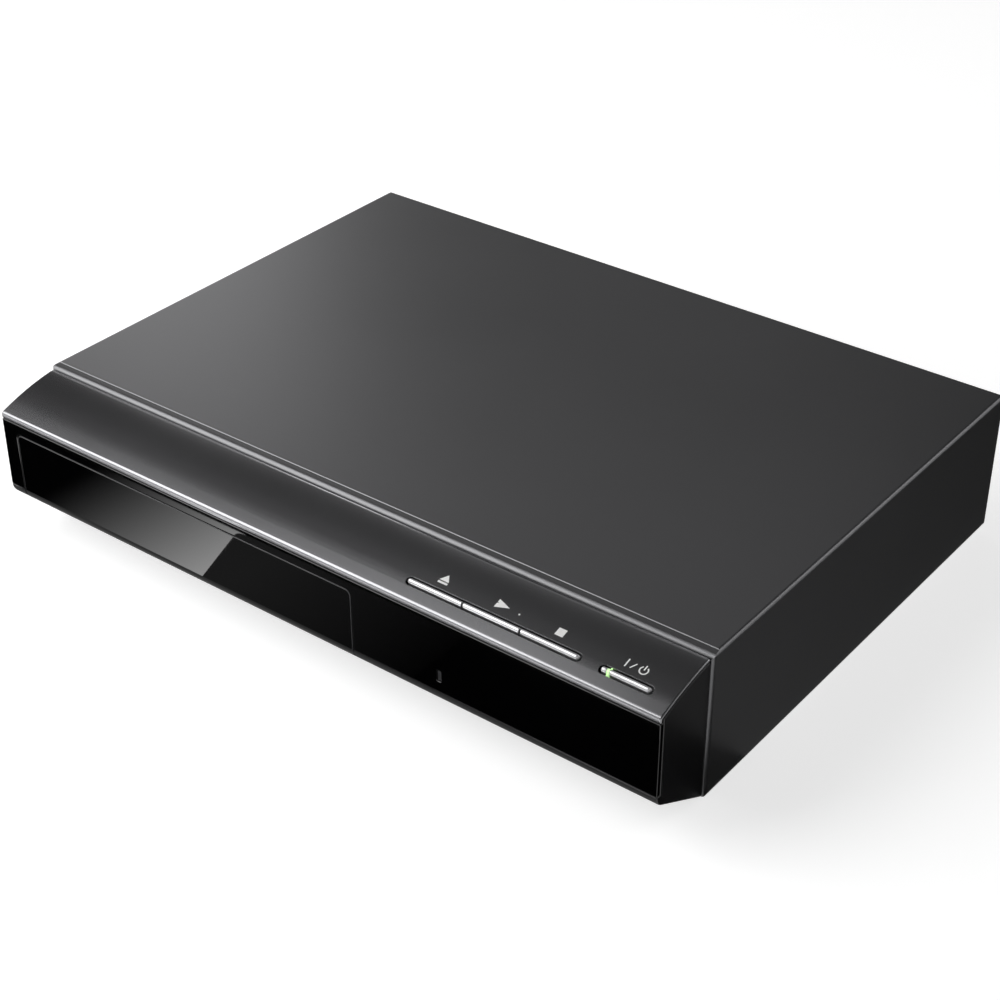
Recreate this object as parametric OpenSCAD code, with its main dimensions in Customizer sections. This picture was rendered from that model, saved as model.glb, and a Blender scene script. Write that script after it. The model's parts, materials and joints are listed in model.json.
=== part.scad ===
// Slim disc player with a motor-driven tray, built as separate pieces.
// Frame: +X to the right seen from the front, +Y to the rear, +Z up, in millimetres.
// The origin is on the table, under the middle of the player.

/* [Case] */
// Width over the side walls of the cover
case_w = 270; // [262:1:280]
// Depth from the front face to the ends of the rear jacks
case_d = 211; // [208:1:214]
// Height of the side walls of the cover
cover_h = 52; // [51:0.5:56]
// Height of the feet below the cover
foot_h = 2.5; // [2.5:0.5:4]
// Thickness of the steel sheet
sheet_t = 0.8; // [0.7:0.1:0.9]
// Outside radius of the folds between the cover's top and its sides
fold_r = 1.2; // [1:0.1:1.6]
// Outside radius of the rolled front edge of the cover
front_fold_r = 1.8; // [1.5:0.1:2]
// Width of the folded rim around the front of the cover
front_rim = 3.2; // [2.5:0.1:4]
// Width of the lowered strip along the front edge of the cover's top
strip_w = 3.4; // [3:0.1:4]
// Drop of that strip below the top
strip_drop = 0.2; // [0.1:0.05:0.3]

/* [Front] */
// Depth of the bezel in front of the cover
bezel_d = 24.5; // [22:0.5:25]
// How much the bezel is narrower than the cover on each side
bezel_inset = 1; // [0.5:0.1:1.5]
// Wall thickness of the bezel
bezel_t = 2.2; // [2:0.1:2.4]
// Depth of the top edge of the bezel below the top of the cover
ledge_drop = 1.3; // [1:0.1:1.6]
// Fall of the sloping control panel from its back edge to its front edge
slope_fall = 5.8; // [5:0.1:6.5]
// Rise of the control panel above a straight line between its edges
slope_bulge = 0.75; // [0.5:0.05:1]
// Thickness of the control panel
trim_t = 1.4; // [1.2:0.1:1.5]
// Height of the lip that the control panel hangs over the front
lip_h = 2.2; // [2:0.1:2.6]
// Thickness of the smoked front lens
lens_t = 1.6; // [1.4:0.1:1.8]
// Height of the bottom of the flat front face
face_z = 19; // [18.5:0.1:20]
// Radius of the bottom edge of the front
chin_r = 5; // [4:0.1:5.5]
// Slope of the underside behind the chin, in degrees
belly_tilt = 29; // [28:0.5:30]

/* [Keys] */
// Distance of the row of keys behind the front face
key_back = 6.1; // [5.8:0.1:6.6]
// Width of a key's bar
key_w = 1.7; // [1.6:0.1:2]
// Length of a transport key
key_len = 20.3; // [19.5:0.1:20.4]
// Gap between two transport keys
key_gap = 0.6; // [0.5:0.1:0.8]
// Width of the dark slot that the keys stand in
key_slot_w = 3.3; // [3:0.1:3.6]
// How far a key is pressed in
key_travel = 0.8; // [0.4:0.1:0.8]

/* [Tray] */
// Distance of the middle of the tray left of the middle of the player
tray_off = 52.5; // [52:0.1:53]
// Width of the tray
tray_w = 130; // [129:0.5:130]
// Width of the door in front of the tray
door_w = 149; // [146:0.5:150]
// Gap around the door
door_gap = 0.35; // [0.3:0.05:0.5]
// Travel of the tray
tray_travel = 135; // [120:1:136]
// Radius of the well for a full-size disc
well_r = 60.5; // [60.3:0.1:60.8]
// Radius of the inner well for a small disc
small_well_r = 40.6; // [40.4:0.1:41]
// Depth of the large well
well_depth = 4.2; // [4:0.1:4.4]
// Radius of the fingertip scoops at the edge of the well
scoop_r = 15; // [13:0.5:16]
// Width of the slot in the tray over the pickup
tray_slot_w = 48; // [47:0.5:49]

/* [Gears] */
// Module of the loading gears
gear_mod = 1; // [0.9:0.05:1]
// Teeth of the gear that drives the rack
tray_gear_teeth = 20; // [18:1:20]
// Teeth of the pinion on the pulley
pinion_teeth = 12; // [12:1:13]
// Radius of the bottom of the large pulley's groove
pulley_groove_r = 10.5; // [10:0.1:10.6]
// Radius of the bottom of the motor pulley's groove
motor_groove_r = 3; // [2.8:0.1:3.2]
// Play between the teeth, along the pitch line
gear_slack = 0.24; // [0.2:0.02:0.3]

/* [Pickup] */
// Angle by which the pickup frame hangs down when the tray may move
lift_angle = 5.4; // [5.2:0.05:5.45]
// Radius of the ring on which a disc sits
turntable_r = 14.5; // [14:0.1:14.8]
// Radius of the hub that centres a disc
hub_r = 7.45; // [7.4:0.01:7.48]
// Radius of the guide rods
rod_r = 1.5; // [1.4:0.05:1.6]
// Travel of the pickup from the inner to the outer track
sled_travel = 36; // [30:1:36]

/* [Rear] */
// How far the jacks stand out of the rear panel
jack_out = 7; // [6:0.5:8]
// Spacing of the jacks
jack_pitch = 14; // [14:0.5:14.5]
// Outside radius of a jack's shell
jack_r = 4.15; // [4.1:0.01:4.2]
// Radius of a jack's centre socket
socket_r = 1.6; // [1.55:0.01:1.65]
// Radius of the hole for the mains cord in its gland
cord_hole_r = 3.4; // [3:0.1:3.6]

/* [Hidden] */
$fn = 48;

// Case
front_y = -case_d / 2;
rim_y = front_y + bezel_d;                // front edge of the cover
back_y = case_d / 2 - jack_out;           // outer face of the rear panel
side_x = case_w / 2;
top_z = foot_h + cover_h;
floor_z = foot_h + 1.7;                   // top face of the base pan
pan_z = floor_z - sheet_t;
hem_w = 6;                                // fold under the bottom of the cover's sides
strip_tilt = 4;                           // fall of the lowered strip, in degrees
foot_r = 9;
foot_x = side_x - 23;
foot_front_y = rim_y + 14.5;
foot_rear_y = back_y - 12.5;

// Front
bezel_x = side_x - bezel_inset;
ledge_z = top_z - ledge_drop;
ledge_y = rim_y - 1.8;
edge_z = ledge_z - slope_fall;            // where the slope would meet the front face
lip_z = edge_z - lip_h;
edge_r = 1.2;                             // rounding of the control panel's front edge
join = 0.1;                               // gap between two mouldings that lie together

// Centre and radius of the arc that shapes the control panel
chord = [front_y - ledge_y, edge_z - ledge_z];
chord_len = norm(chord);
slope_r = chord_len * chord_len / (8 * slope_bulge) + slope_bulge / 2;
slope_c = [ledge_y, ledge_z] + chord / 2
    + [-chord[1], chord[0]] / chord_len * (slope_r - slope_bulge);
edge_c = [front_y + edge_r, slope_c[1]
    + sqrt(pow(slope_r - edge_r, 2) - pow(front_y + edge_r - slope_c[0], 2))];
edge_dir = (edge_c - slope_c) / norm(edge_c - slope_c);
edge_tangent_y = edge_c[0] + edge_r * edge_dir[0];

// The belly line leaves the chin's arc at its tangent
belly_start = [front_y + chin_r, face_z] - chin_r * [sin(belly_tilt), cos(belly_tilt)];
function belly_z(y, inset = 0) =
    belly_start[1] - (y - belly_start[0]) * tan(belly_tilt) + inset / cos(belly_tilt);

// Tray and loader. Heights are taken from the top of the base pan.
tray_x = -tray_off;
tray_edge = tray_w / 2;
spindle_y = front_y + 70.5;
tray_front_y = front_y + 4.3;
tray_rear_y = front_y + 171.5;
tray_base_z = floor_z + 26.5;             // underside of the tray
deck_z = tray_base_z + 2.5 + well_depth;  // top of the tray
well_z = deck_z - well_depth;
small_well_z = well_z - 1;
slot_rear_y = spindle_y + 75;
door_left = tray_x - 74.5;
door_right = door_left + door_w;
door_top = lip_z - 4.2;
guide_play = 0.25;                        // gap between the tray and its guides
frame_base_z = floor_z + 3.8;             // underside of the loader frame
frame_base_t = 2.2;
frame_wall = 3.4;
frame_in = tray_edge + 0.5;               // inner face of the loader's side walls
frame_out = frame_in + frame_wall;
frame_front_y = front_y + 7.2;
frame_rear_y = spindle_y + 105;
frame_top_z = deck_z + 2.6;
gear_deck_z = floor_z + 15.8;             // top of the deck that carries the gears
gear_z = floor_z + 20.3;                  // underside of the gears and of the rack
gear_h = 5;

// Loading gears
rack_x = tray_x + 44.5;                   // pitch line of the rack, teeth to the right
pressure = 25;
tray_gear_r = gear_mod * tray_gear_teeth / 2;
pinion_r = gear_mod * pinion_teeth / 2;
gear_ease = 0.05;                         // extra distance between the centres
tray_gear_pos = [rack_x + tray_gear_r + gear_ease, front_y + 27.5];
pinion_dir = 50;                          // direction from the tray gear to the pinion
pinion_pos = tray_gear_pos
    + (tray_gear_r + pinion_r + gear_ease) * [cos(pinion_dir), sin(pinion_dir)];
motor_pos = [tray_x + 60.5, front_y + 67.5];
pinion_turn = pinion_dir + 180 - (180 - pinion_dir) * tray_gear_teeth / pinion_teeth
    + 180 / pinion_teeth;
shaft_r = 1.5;
running = 0.06;                           // radial play of a shaft in its hole
loading_motor_r = 12;

// Pickup frame, drawn level as when a disc plays
pivot = [0, spindle_y + 93, floor_z + 13.8];
disc_z = floor_z + 32.55;                 // underside of a playing disc
lift_z = floor_z + 12.8;                  // underside of the lift frame
lift_t = 3.5;
plate_z = lift_z + lift_t + 2.8;
plate_t = 1.2;
rod_z = plate_z + plate_t + 3;
rod_left_x = tray_x - 23;
rod_right_x = tray_x + 18.5;
screw_x = tray_x + 26;
screw_z = rod_z - 4;
screw_rod_r = 1.5;
lens_y = spindle_y + 23;                  // objective at the innermost track
cam_pin = [tray_x - 8, spindle_y - 32, lift_z + 9];
cam_run = 20;                             // slide of the cam for a full lift
cam_y = spindle_y - 36;
cam_deck_z = frame_base_z + frame_base_t;  // top of the base ring

// Clamp
bridge_z = frame_top_z;
bridge_t = 1.2;
clamp_z = deck_z + 0.6;

// Boards
board_z = floor_z + 5.8;
board_t = 1.6;
main_x0 = 30;
main_x1 = 84;
power_x0 = 88;
power_x1 = side_x - 5;
boards_front_y = front_y + 58.5;

// Rear
jack_x = 34;
jack_low_z = floor_z + 12.8;
jack_high_z = jack_low_z + jack_pitch;
gland_pos = [112, floor_z + 18];
screw_r = 1.5;

// Keys. Each is drawn on the slope, in a frame with +Z out of the panel.
key_y = front_y + key_back;
key_z = slope_c[1] + sqrt(slope_r * slope_r - pow(key_y - slope_c[0], 2));
key_tilt = asin((slope_c[0] - key_y) / slope_r);
key_x0 = 40.1;
key_pitch = key_len + key_gap;
power_x = 109.8;
power_len = 16.6;
light_x = power_x + 2.1;
light_w = 1;
key_rise = 0.15;                          // height of the straight side of a bar
key_top_r = key_w / 2 - 0.15;
key_flange_z = -(trim_t + bezel_t + 0.2);
key_board_z = -12.6;
power_end = power_x + power_len;

// Remote sensor and its window in the lens
window_x = 56;
window_z = 24.9;
window_w = 1.6;
window_h = 4;
sensor_w = 18;                            // width of the sensor's board

// ---------------------------------------------------------------- helpers

// A block from one corner to the opposite one
module block(a, b) {
    translate(a) cube(b - a);
}

// A profile in Y and Z, extruded along X and centred on x
module along_x(len, x = 0) {
    translate([x, 0, 0]) rotate([90, 0, 90]) linear_extrude(len, center = true) children();
}

// A profile in X and Z, extruded along Y from y0 to y1
module along_y(y0, y1) {
    translate([0, y1, 0]) rotate([90, 0, 0]) linear_extrude(y1 - y0) children();
}

// A profile in X and Y, extruded along Z from z0 to z1
module along_z(z0, z1) {
    translate([0, 0, z0]) linear_extrude(z1 - z0) children();
}

// A rectangle from corner a to corner b with round corners
module round_rect(a, b, r) {
    translate([a[0] + r, a[1]]) square([b[0] - a[0] - 2 * r, b[1] - a[1]]);
    translate([a[0], a[1] + r]) square([b[0] - a[0], b[1] - a[1] - 2 * r]);
    for (x = [a[0] + r, b[0] - r], y = [a[1] + r, b[1] - r]) translate([x, y]) circle(r);
}

// A slot with round ends between two points on a line along x
module slot(x0, x1, w) {
    translate([x0 + w / 2, -w / 2]) square([x1 - x0 - w, w]);
    for (x = [x0 + w / 2, x1 - w / 2]) translate([x, 0]) circle(w / 2);
}

// A pin or hole along Y from y0 to y1
module pin_y(x, z, r, y0, y1) {
    translate([x, y1, z]) rotate([90, 0, 0]) cylinder(r = r, h = y1 - y0);
}

module pin_x(y, z, r, x0, x1) {
    translate([x0, y, z]) rotate([0, 90, 0]) cylinder(r = r, h = x1 - x0);
}

// A pan-head screw with a cross recess, head at the origin, shank along -Z
module screw(len, r = screw_r) {
    difference() {
        union() {
            cylinder(r1 = 2 * r, r2 = 1.5 * r, h = 0.9 * r);
            translate([0, 0, -len]) cylinder(r = r, h = len);
        }
        for (a = [0, 90]) rotate(a) translate([-r, -r / 6, r / 3]) cube([2 * r, r / 3, r]);
    }
}

// Places children on the sloping control panel
module on_slope(x = 0) {
    translate([x, key_y, key_z]) rotate([key_tilt, 0, 0]) children();
}

// Turns the level pickup frame down to where the tray may move
module lowered() {
    translate(pivot) rotate([lift_angle, 0, 0]) translate(-pivot) children();
}

// ------------------------------------------------------------------ gears

function involute(angle) = tan(angle) - angle * PI / 180;

// Half of a tooth's angle at radius r
function half_tooth(teeth, r) =
    let (pitch_r = gear_mod * teeth / 2, base_r = pitch_r * cos(pressure))
    180 / PI * ((PI * gear_mod / 2 - gear_slack / 2) / 2 / pitch_r
        + involute(pressure) - involute(acos(min(1, base_r / r))));

// One side of a tooth, from the root to the tip
function flank(teeth, side) =
    let (pitch_r = gear_mod * teeth / 2, base_r = pitch_r * cos(pressure),
        root_r = pitch_r - 1.25 * gear_mod, tip_r = pitch_r + 0.95 * gear_mod,
        start_r = max(base_r, root_r), steps = 4)
    concat([[root_r, side * half_tooth(teeth, start_r)]],
        [for (i = [0:steps]) let (r = start_r + (tip_r - start_r) * i / steps)
            [r, side * half_tooth(teeth, r)]]);

function backwards(list) = [for (i = [len(list) - 1:-1:0]) list[i]];

// An external gear with a tooth centred on angle turn
module gear(teeth, turn) {
    outline = [for (t = [0:teeth - 1]) each [for (p = concat(flank(teeth, -1),
        backwards(flank(teeth, 1)))) let (a = turn + 360 * t / teeth + p[1])
        p[0] * [cos(a), sin(a)]]];
    polygon(outline);
}

// The rack's teeth point to +X, with a gap centred on y = 0
module rack(y0, y1) {
    pitch = PI * gear_mod;
    half = pitch / 4 - gear_slack / 4;
    tip = 0.95 * gear_mod;
    root = 1.25 * gear_mod;
    lean = tan(pressure);
    translate([-root - 2.6, y0]) square([2.6, y1 - y0]);
    for (i = [ceil(y0 / pitch + 0.3):floor(y1 / pitch - 0.8)])
        translate([0, (i + 0.5) * pitch])
            polygon([[-root - 0.1, -half - root * lean], [tip, -half + tip * lean],
                [tip, half - tip * lean], [-root - 0.1, half + root * lean]]);
}

// ------------------------------------------------------------- the case

// Side view of the cover between corners a and b. A small step leads down to a strip that
// falls gently to the rolled front edge of radius r.
module cover_profile(a, b, r) {
    step_y = rim_y + strip_w;
    roll = [a[0] + r * (1 - sin(strip_tilt)), b[1] - strip_drop
        - (step_y - strip_drop - a[0] - r * (1 - sin(strip_tilt))) * tan(strip_tilt)];
    polygon([[step_y, b[1]], [step_y - strip_drop, b[1] - strip_drop], roll,
        [roll[0], a[1]], [b[0], a[1]], [b[0], b[1]]]);
    translate(a) square([roll[0] - a[0], roll[1] - a[1] - r * cos(strip_tilt)]);
    translate([a[0] + r, roll[1] - r * cos(strip_tilt)]) circle(r);
}

// The cover's outer shape, or its inside when inset by the sheet
module cover_form(inset, rear_y) {
    r = fold_r - inset;
    a = [-side_x + inset, rim_y + inset, foot_h + inset];
    b = [side_x - inset, rear_y, top_z - inset];
    intersection() {
        along_y(a[1], b[1]) round_rect([a[0], a[2]], [b[0], b[2]], r);
        along_x(case_w) cover_profile([a[1], a[2] - 9], [b[1] + 9, b[2]], front_fold_r - inset);
        along_z(a[2], b[2]) round_rect([a[0], a[1]], [b[0], b[1] + 9], r);
    }
}

cover_screw_places = [[-100, top_z - 4], [0, top_z - 4], [100, top_z - 4],
    [-side_x + 4.2, foot_h + 12], [side_x - 4.2, foot_h + 12]];

module top_cover() {
    color([0.2, 0.2, 0.21]) difference() {
        cover_form(0, back_y + sheet_t);
        cover_form(sheet_t, back_y);
        block([-side_x + front_rim, rim_y - 9, foot_h - 9],
            [side_x - front_rim, rim_y + 9, top_z - front_rim]);
        block([-side_x + hem_w, rim_y - 9, foot_h - 9],
            [side_x - hem_w, back_y + 9, foot_h + sheet_t + 0.05]);
        block([-side_x + 7.5, back_y - 9, foot_h - 9], [side_x - 7.5, back_y + 9, top_z - 7.5]);
        for (p = cover_screw_places) pin_y(p[0], p[1], screw_r + 0.1, back_y - 1, back_y + 9);
    }
}

// Pressed beads, vents and posts of the base pan
pan_x = side_x - sheet_t - 0.3;
pan_front_y = rim_y + sheet_t + 0.3;
pan_rear_y = back_y - sheet_t - 0.1;
loader_screw_places = [[tray_x - 59, rim_y + 27], [tray_x - 59, frame_rear_y - 5.6],
    [tray_x + 59, frame_rear_y - 5.6], [tray_x + 59, spindle_y + 23]];
board_screw_places = [[main_x0 + 4, boards_front_y + 4], [main_x1 - 4, boards_front_y + 4],
    [main_x0 + 4, back_y - 26], [main_x1 - 4, back_y - 26],
    [power_x0 + 4, boards_front_y + 4], [power_x1 - 4, boards_front_y + 4],
    [power_x0 + 4, back_y - 12], [power_x1 - 4, back_y - 12]];

// A bead pressed up out of the pan
module bead(x, y0, y1, lift) {
    translate([x, 0, 0]) rotate([0, 0, 90]) along_z(pan_z + lift, floor_z + lift)
        slot(y0, y1, 6);
}

// Beads across the pan under the boards, at their height or inset from below
module cross_beads(lower, inset) {
    for (y = [-38, 10, 58]) translate([0, y, pan_z + sheet_t + lower])
        linear_extrude(sheet_t) slot(36 + inset, 82 - inset, 7 - 2 * inset);
}

module base_pan() {
    beads = [[-128, -60, 70], [26, -50, 70]];
    color([0.62, 0.63, 0.64]) difference() {
        union() {
            block([-pan_x, pan_front_y, pan_z], [pan_x, pan_rear_y, floor_z]);
            for (s = [-1, 1]) translate([s * (pan_x - sheet_t / 2), 0, 0])
                block([-sheet_t / 2, pan_front_y + 2, pan_z],
                    [sheet_t / 2, pan_rear_y, floor_z + 10]);
            block([-pan_x, pan_rear_y - sheet_t, pan_z], [pan_x, pan_rear_y, floor_z + 6]);
            for (b = beads) bead(b[0], b[1], b[2], sheet_t);
            cross_beads(0, 0);
            for (p = loader_screw_places) translate([p[0], p[1], pan_z])
                cylinder(r1 = 6, r2 = 4, h = frame_base_z - pan_z);
            for (p = board_screw_places) translate([p[0], p[1], pan_z])
                cylinder(r1 = 5, r2 = 3, h = board_z - pan_z);
        }
        for (b = beads) bead(b[0], b[1] + 0.8, b[2] - 0.8, -0.4);
        cross_beads(-1.2, 0.8);
        for (p = concat(loader_screw_places, board_screw_places)) translate([p[0], p[1], 0])
            cylinder(r = screw_r - 0.1, h = 40);
        for (x = [-foot_x, foot_x], y = [foot_front_y, foot_rear_y]) translate([x, y, 0])
            cylinder(r = 2.6, h = 40);
        for (i = [0:9]) {
            translate([94 + 3.6 * i, 0, pan_z - 1]) rotate([0, 0, 90])
                linear_extrude(9) slot(2, 34, 1.8);
            translate([tray_x - 16.2 + 3.6 * i, 0, pan_z - 1]) rotate([0, 0, 90])
                linear_extrude(9) slot(-16, 16, 1.8);
        }
    }
}

module feet() {
    color([0.09, 0.09, 0.09])
        for (x = [-foot_x, foot_x], y = [foot_front_y, foot_rear_y]) translate([x, y, 0])
            rotate_extrude() {
                polygon([[0, 0], [foot_r - 1, 0], [foot_r, 1], [foot_r, pan_z],
                    [2.5, pan_z], [2.5, floor_z], [3.3, floor_z], [1.6, floor_z + 2.4],
                    [0, floor_z + 2.4]]);
            }
}

// Vents of the rear panel, three rows of upright slots behind the loader
module rear_vents() {
    for (row = [0:1], i = [0:17])
        translate([-118 + 5.4 * i, floor_z + 17 + 15 * row]) rotate(90) slot(-6, 6, 2.2);
}

jack_places = [for (row = [0, 1], i = [0:3]) if (row == 1 || i < 3)
    [jack_x + jack_pitch * i, row == 0 ? jack_low_z : jack_high_z]];

module rear_panel() {
    panel_x = pan_x - 0.1;
    color([0.13, 0.13, 0.14]) difference() {
        union() {
            block([-panel_x, back_y - sheet_t, floor_z], [panel_x, back_y, top_z - sheet_t - 0.2]);
            block([-panel_x + 2, back_y - 9, floor_z], [-foot_x - 8, back_y, floor_z + sheet_t]);
            block([-foot_x + 8, back_y - 9, floor_z], [26, back_y, floor_z + sheet_t]);
            block([-panel_x + 2, back_y - 7, top_z - 2 * sheet_t - 0.3],
                [panel_x - 2, back_y, top_z - sheet_t - 0.3]);
        }
        block([-panel_x - 1, back_y - 10, floor_z - 1],
            [panel_x + 1, back_y - sheet_t, floor_z + sheet_t + 8.1]);
        along_y(back_y - 5, back_y + 5) rear_vents();
        for (p = jack_places) pin_y(p[0], p[1], 5.35, back_y - 5, back_y + 5);
        intersection() {
            pin_y(gland_pos[0], gland_pos[1], 6.4, back_y - 5, back_y + 5);
            block([gland_pos[0] - 9, back_y - 5, gland_pos[1] - 5.6],
                [gland_pos[0] + 9, back_y + 5, gland_pos[1] + 5.6]);
        }
        for (p = cover_screw_places) pin_y(p[0], p[1], screw_r - 0.1, back_y - 5, back_y + 5);
    }
}

// The screws that hold the cover to the rear panel
module cover_screws() {
    color([0.16, 0.16, 0.17]) for (p = cover_screw_places)
        translate([p[0], back_y + sheet_t, p[1]]) rotate([-90, 0, 0]) screw(4, screw_r - 0.1);
}

// ------------------------------------------------------------- the front

// The side view of the whole front, shut behind at rear_y
module front_form(rear_y) {
    difference() {
        intersection() {
            polygon([[front_y, face_z], belly_start, [rear_y, belly_z(rear_y)],
                [rear_y, ledge_z], [front_y, ledge_z]]);
            union() {
                translate(slope_c) circle(slope_r, $fn = 360);
                translate([ledge_y, foot_h]) square([bezel_d, ledge_z - foot_h]);
            }
        }
        translate([front_y - 1, edge_c[1]]) square([edge_tangent_y - front_y + 1, 20]);
        translate([front_y - 1, belly_start[1] - 1])
            square([belly_start[0] - front_y + 1, face_z - belly_start[1] + 1]);
    }
    translate(edge_c) circle(edge_r);
    translate([front_y + chin_r, face_z]) circle(chin_r);
}

// What the control panel takes of that form
module panel_zone() {
    difference() {
        translate([front_y - 1, lip_z]) square([bezel_d + 9, 40]);
        translate([front_y + lens_t, 0]) intersection() {
            square([bezel_d + 9, 100]);
            translate([slope_c[0] - front_y - lens_t, slope_c[1]])
                circle(slope_r - trim_t, $fn = 360);
        }
    }
}

module key_slots(w, grow) {
    on_slope() translate([0, 0, -9]) linear_extrude(18) {
        slot(key_x0 - grow, key_x0 + 2 * key_pitch + key_len + grow, w);
        slot(power_x - grow, power_x + power_len + grow, w);
    }
}

module control_panel() {
    color([0.24, 0.24, 0.26]) difference() {
        along_x(2 * bezel_x) intersection() {
            front_form(rim_y - join);
            panel_zone();
        }
        key_slots(key_slot_w, (key_slot_w - key_w) / 2);
    }
}

// The opening for the door, with small round corners at the top
module door_shape(gap) {
    round_rect([door_left - gap, face_z - 12], [door_right + gap, door_top + gap], 2);
}

module front_lens() {
    color([0.03, 0.03, 0.035]) along_y(front_y, front_y + lens_t) difference() {
        translate([-bezel_x + join, face_z + join])
            square([2 * (bezel_x - join), lip_z - face_z - 2 * join]);
        door_shape(door_gap);
        round_rect([window_x - window_w / 2, window_z - window_h / 2],
            [window_x + window_w / 2, window_z + window_h / 2], 0.3);
    }
}

boss_places = [[34, 7.4], [84, 7.4], [128.6, 7.4]];

module front_bezel() {
    in_x = bezel_x - bezel_t;
    wall_y = front_y + 4.7;               // front of the wall behind the door
    color([0.05, 0.05, 0.055]) difference() {
        union() {
            difference() {
                along_x(2 * bezel_x) difference() {
                    front_form(rim_y - join);
                    panel_zone();
                }
                along_y(front_y - 1, front_y + lens_t) translate([-bezel_x - 1, face_z])
                    square([2 * bezel_x + 2, 40]);
                along_x(2 * in_x) intersection() {
                    translate(slope_c) circle(slope_r - trim_t - bezel_t, $fn = 360);
                    polygon([[front_y + lens_t + bezel_t, belly_z(front_y + 3.8, bezel_t)],
                        [rim_y + 9, belly_z(rim_y + 9, bezel_t)],
                        [rim_y + 9, top_z], [front_y + lens_t + bezel_t, top_z]]);
                }
                along_y(front_y - 1, wall_y) door_shape(door_gap);
            }
            // Wall behind the door
            intersection() {
                along_x(2 * in_x + 1) front_form(rim_y - join);
                block([door_left - 3, wall_y, belly_z(wall_y) - 2],
                    [door_right + 3, wall_y + 1.8, lip_z + 1]);
            }
            // Tongue that lies on the base pan
            block([-in_x + 6, rim_y - 3, floor_z + 0.1], [in_x - 6, rim_y + 7, floor_z + 1.9]);
            // Tongues under the top of the cover
            for (x = [-90, 0, 90]) translate([x, 0, 0])
                block([-15, rim_y - 3, top_z - 5.9], [15, rim_y + 6, top_z - 4]);
            // Grooved holders of the sensor's board
            for (s = [-1, 1]) translate([window_x + s * sensor_w / 2, front_y, window_z])
                difference() {
                    block([-1.6, lens_t + 1, -8], [1.6, 12.4, 8]);
                    block([-s * 1.7 - 1.8, 8.9, -9], [-s * 1.7 + 1.8, 9.1 + board_t, 9]);
                }
            // Side tongues inside the cover
            for (s = [-1, 1]) translate([s * (in_x - 2.3), 0, 0])
                block([-1.1, rim_y - 2, floor_z + 14], [1.1, rim_y + 6, top_z - 12]);
            for (s = [-1, 1]) translate([s * (in_x - 0.6), 0, 0])
                block([-1.2, rim_y - 2, floor_z + 14], [1.2, rim_y, top_z - 12]);
            // Bosses that carry the key board
            for (b = boss_places) on_slope(b[0]) translate([0, b[1], key_board_z])
                cylinder(r = 2.4, h = -key_board_z - trim_t - 0.6);
        }
        // Way for the tray
        block([tray_x - tray_edge - 1.5, front_y, tray_base_z - 7.4],
            [tray_x + tray_edge + 1.5, front_y + 12, deck_z + 2.1]);
        // Window for the remote sensor
        block([window_x - 3.5, front_y + 1, window_z - 4.5],
            [window_x + 3.5, front_y + 5, window_z + 4.5]);
        key_slots(key_w + 0.5, 0.25);
        for (b = boss_places) on_slope(b[0]) translate([0, b[1], key_board_z - 1])
            cylinder(r = 0.8, h = 7);
    }
}

module tray_door() {
    color([0.03, 0.03, 0.035]) difference() {
        intersection() {
            along_x(case_w) difference() {
                front_form(rim_y);
                translate([tray_front_y, 0]) square([99, 99]);
            }
            along_y(front_y - 1, front_y + 9) door_shape(0);
        }
        for (i = [0:4]) translate([door_left + 3 + 29 * i, front_y + 2, face_z + 2])
            cube([27, 9, door_top - face_z - 4]);
    }
}

// -------------------------------------------------------------- the keys

// A key from x0 to x1 with a post over its switch; round_0 and round_1 say which
// of its ends is round, and the others are square
module key(x0, x1, round_0, round_1) {
    from = round_0 ? x0 + key_w / 2 : x0;
    to = round_1 ? x1 - key_w / 2 : x1;
    on_slope() difference() {
        union() {
            // Bar with a round top
            translate([from, -key_w / 2, key_flange_z]) cube([to - from, key_w, key_rise - key_flange_z]);
            translate([from, 0, key_rise]) rotate([0, 90, 0]) cylinder(r = key_top_r, h = to - from);
            if (round_0) key_end(from);
            if (round_1) key_end(to);
            // Flange behind the bezel
            translate([x0 + 0.4, -3, key_flange_z - 1]) cube([x1 - x0 - 0.8, 6, 1]);
            translate([(x0 + x1) / 2, 0, key_flange_z - 2.2]) cylinder(r = 1.6, h = 1.8);
        }
        children();
    }
}

module key_end(x) {
    translate([x, 0, key_flange_z]) cylinder(r = key_w / 2, h = key_rise - key_flange_z);
    translate([x, 0, key_rise]) sphere(key_top_r);
}

function key_start(i) = key_x0 + key_pitch * i;

module eject_key() {
    color([0.75, 0.76, 0.78]) key(key_start(0), key_start(0) + key_len, true, false);
}

module play_key() {
    color([0.75, 0.76, 0.78]) key(key_start(1), key_start(1) + key_len, false, false);
}

module stop_key() {
    color([0.75, 0.76, 0.78]) key(key_start(2), key_start(2) + key_len, false, true);
}

module power_key() {
    color([0.75, 0.76, 0.78]) key(power_x, power_end, true, true)
        translate([light_x - 0.05, -4, key_flange_z]) cube([light_w + 0.1, 8, 9]);
}

// Clear piece in the power key that carries the lamp's light
module power_light() {
    color([0.55, 0.9, 0.45]) on_slope() {
        translate([light_x, -key_w / 2, key_flange_z])
            cube([light_w, key_w, key_rise - key_flange_z]);
        translate([light_x, 0, key_rise]) rotate([0, 90, 0]) cylinder(r = key_top_r, h = light_w);
    }
}

module front_board() {
    color([0.62, 0.5, 0.28]) on_slope() difference() {
        translate([31, -3.6, key_board_z - board_t])
            cube([bezel_x - bezel_t - 31.5, 13.4, board_t]);
        for (b = boss_places) translate([b[0], b[1], key_board_z - 3]) cylinder(r = 1, h = 9);
    }
}

key_centres = [key_start(0) + key_len / 2, key_start(1) + key_len / 2,
    key_start(2) + key_len / 2, power_x + power_len / 2];

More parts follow.
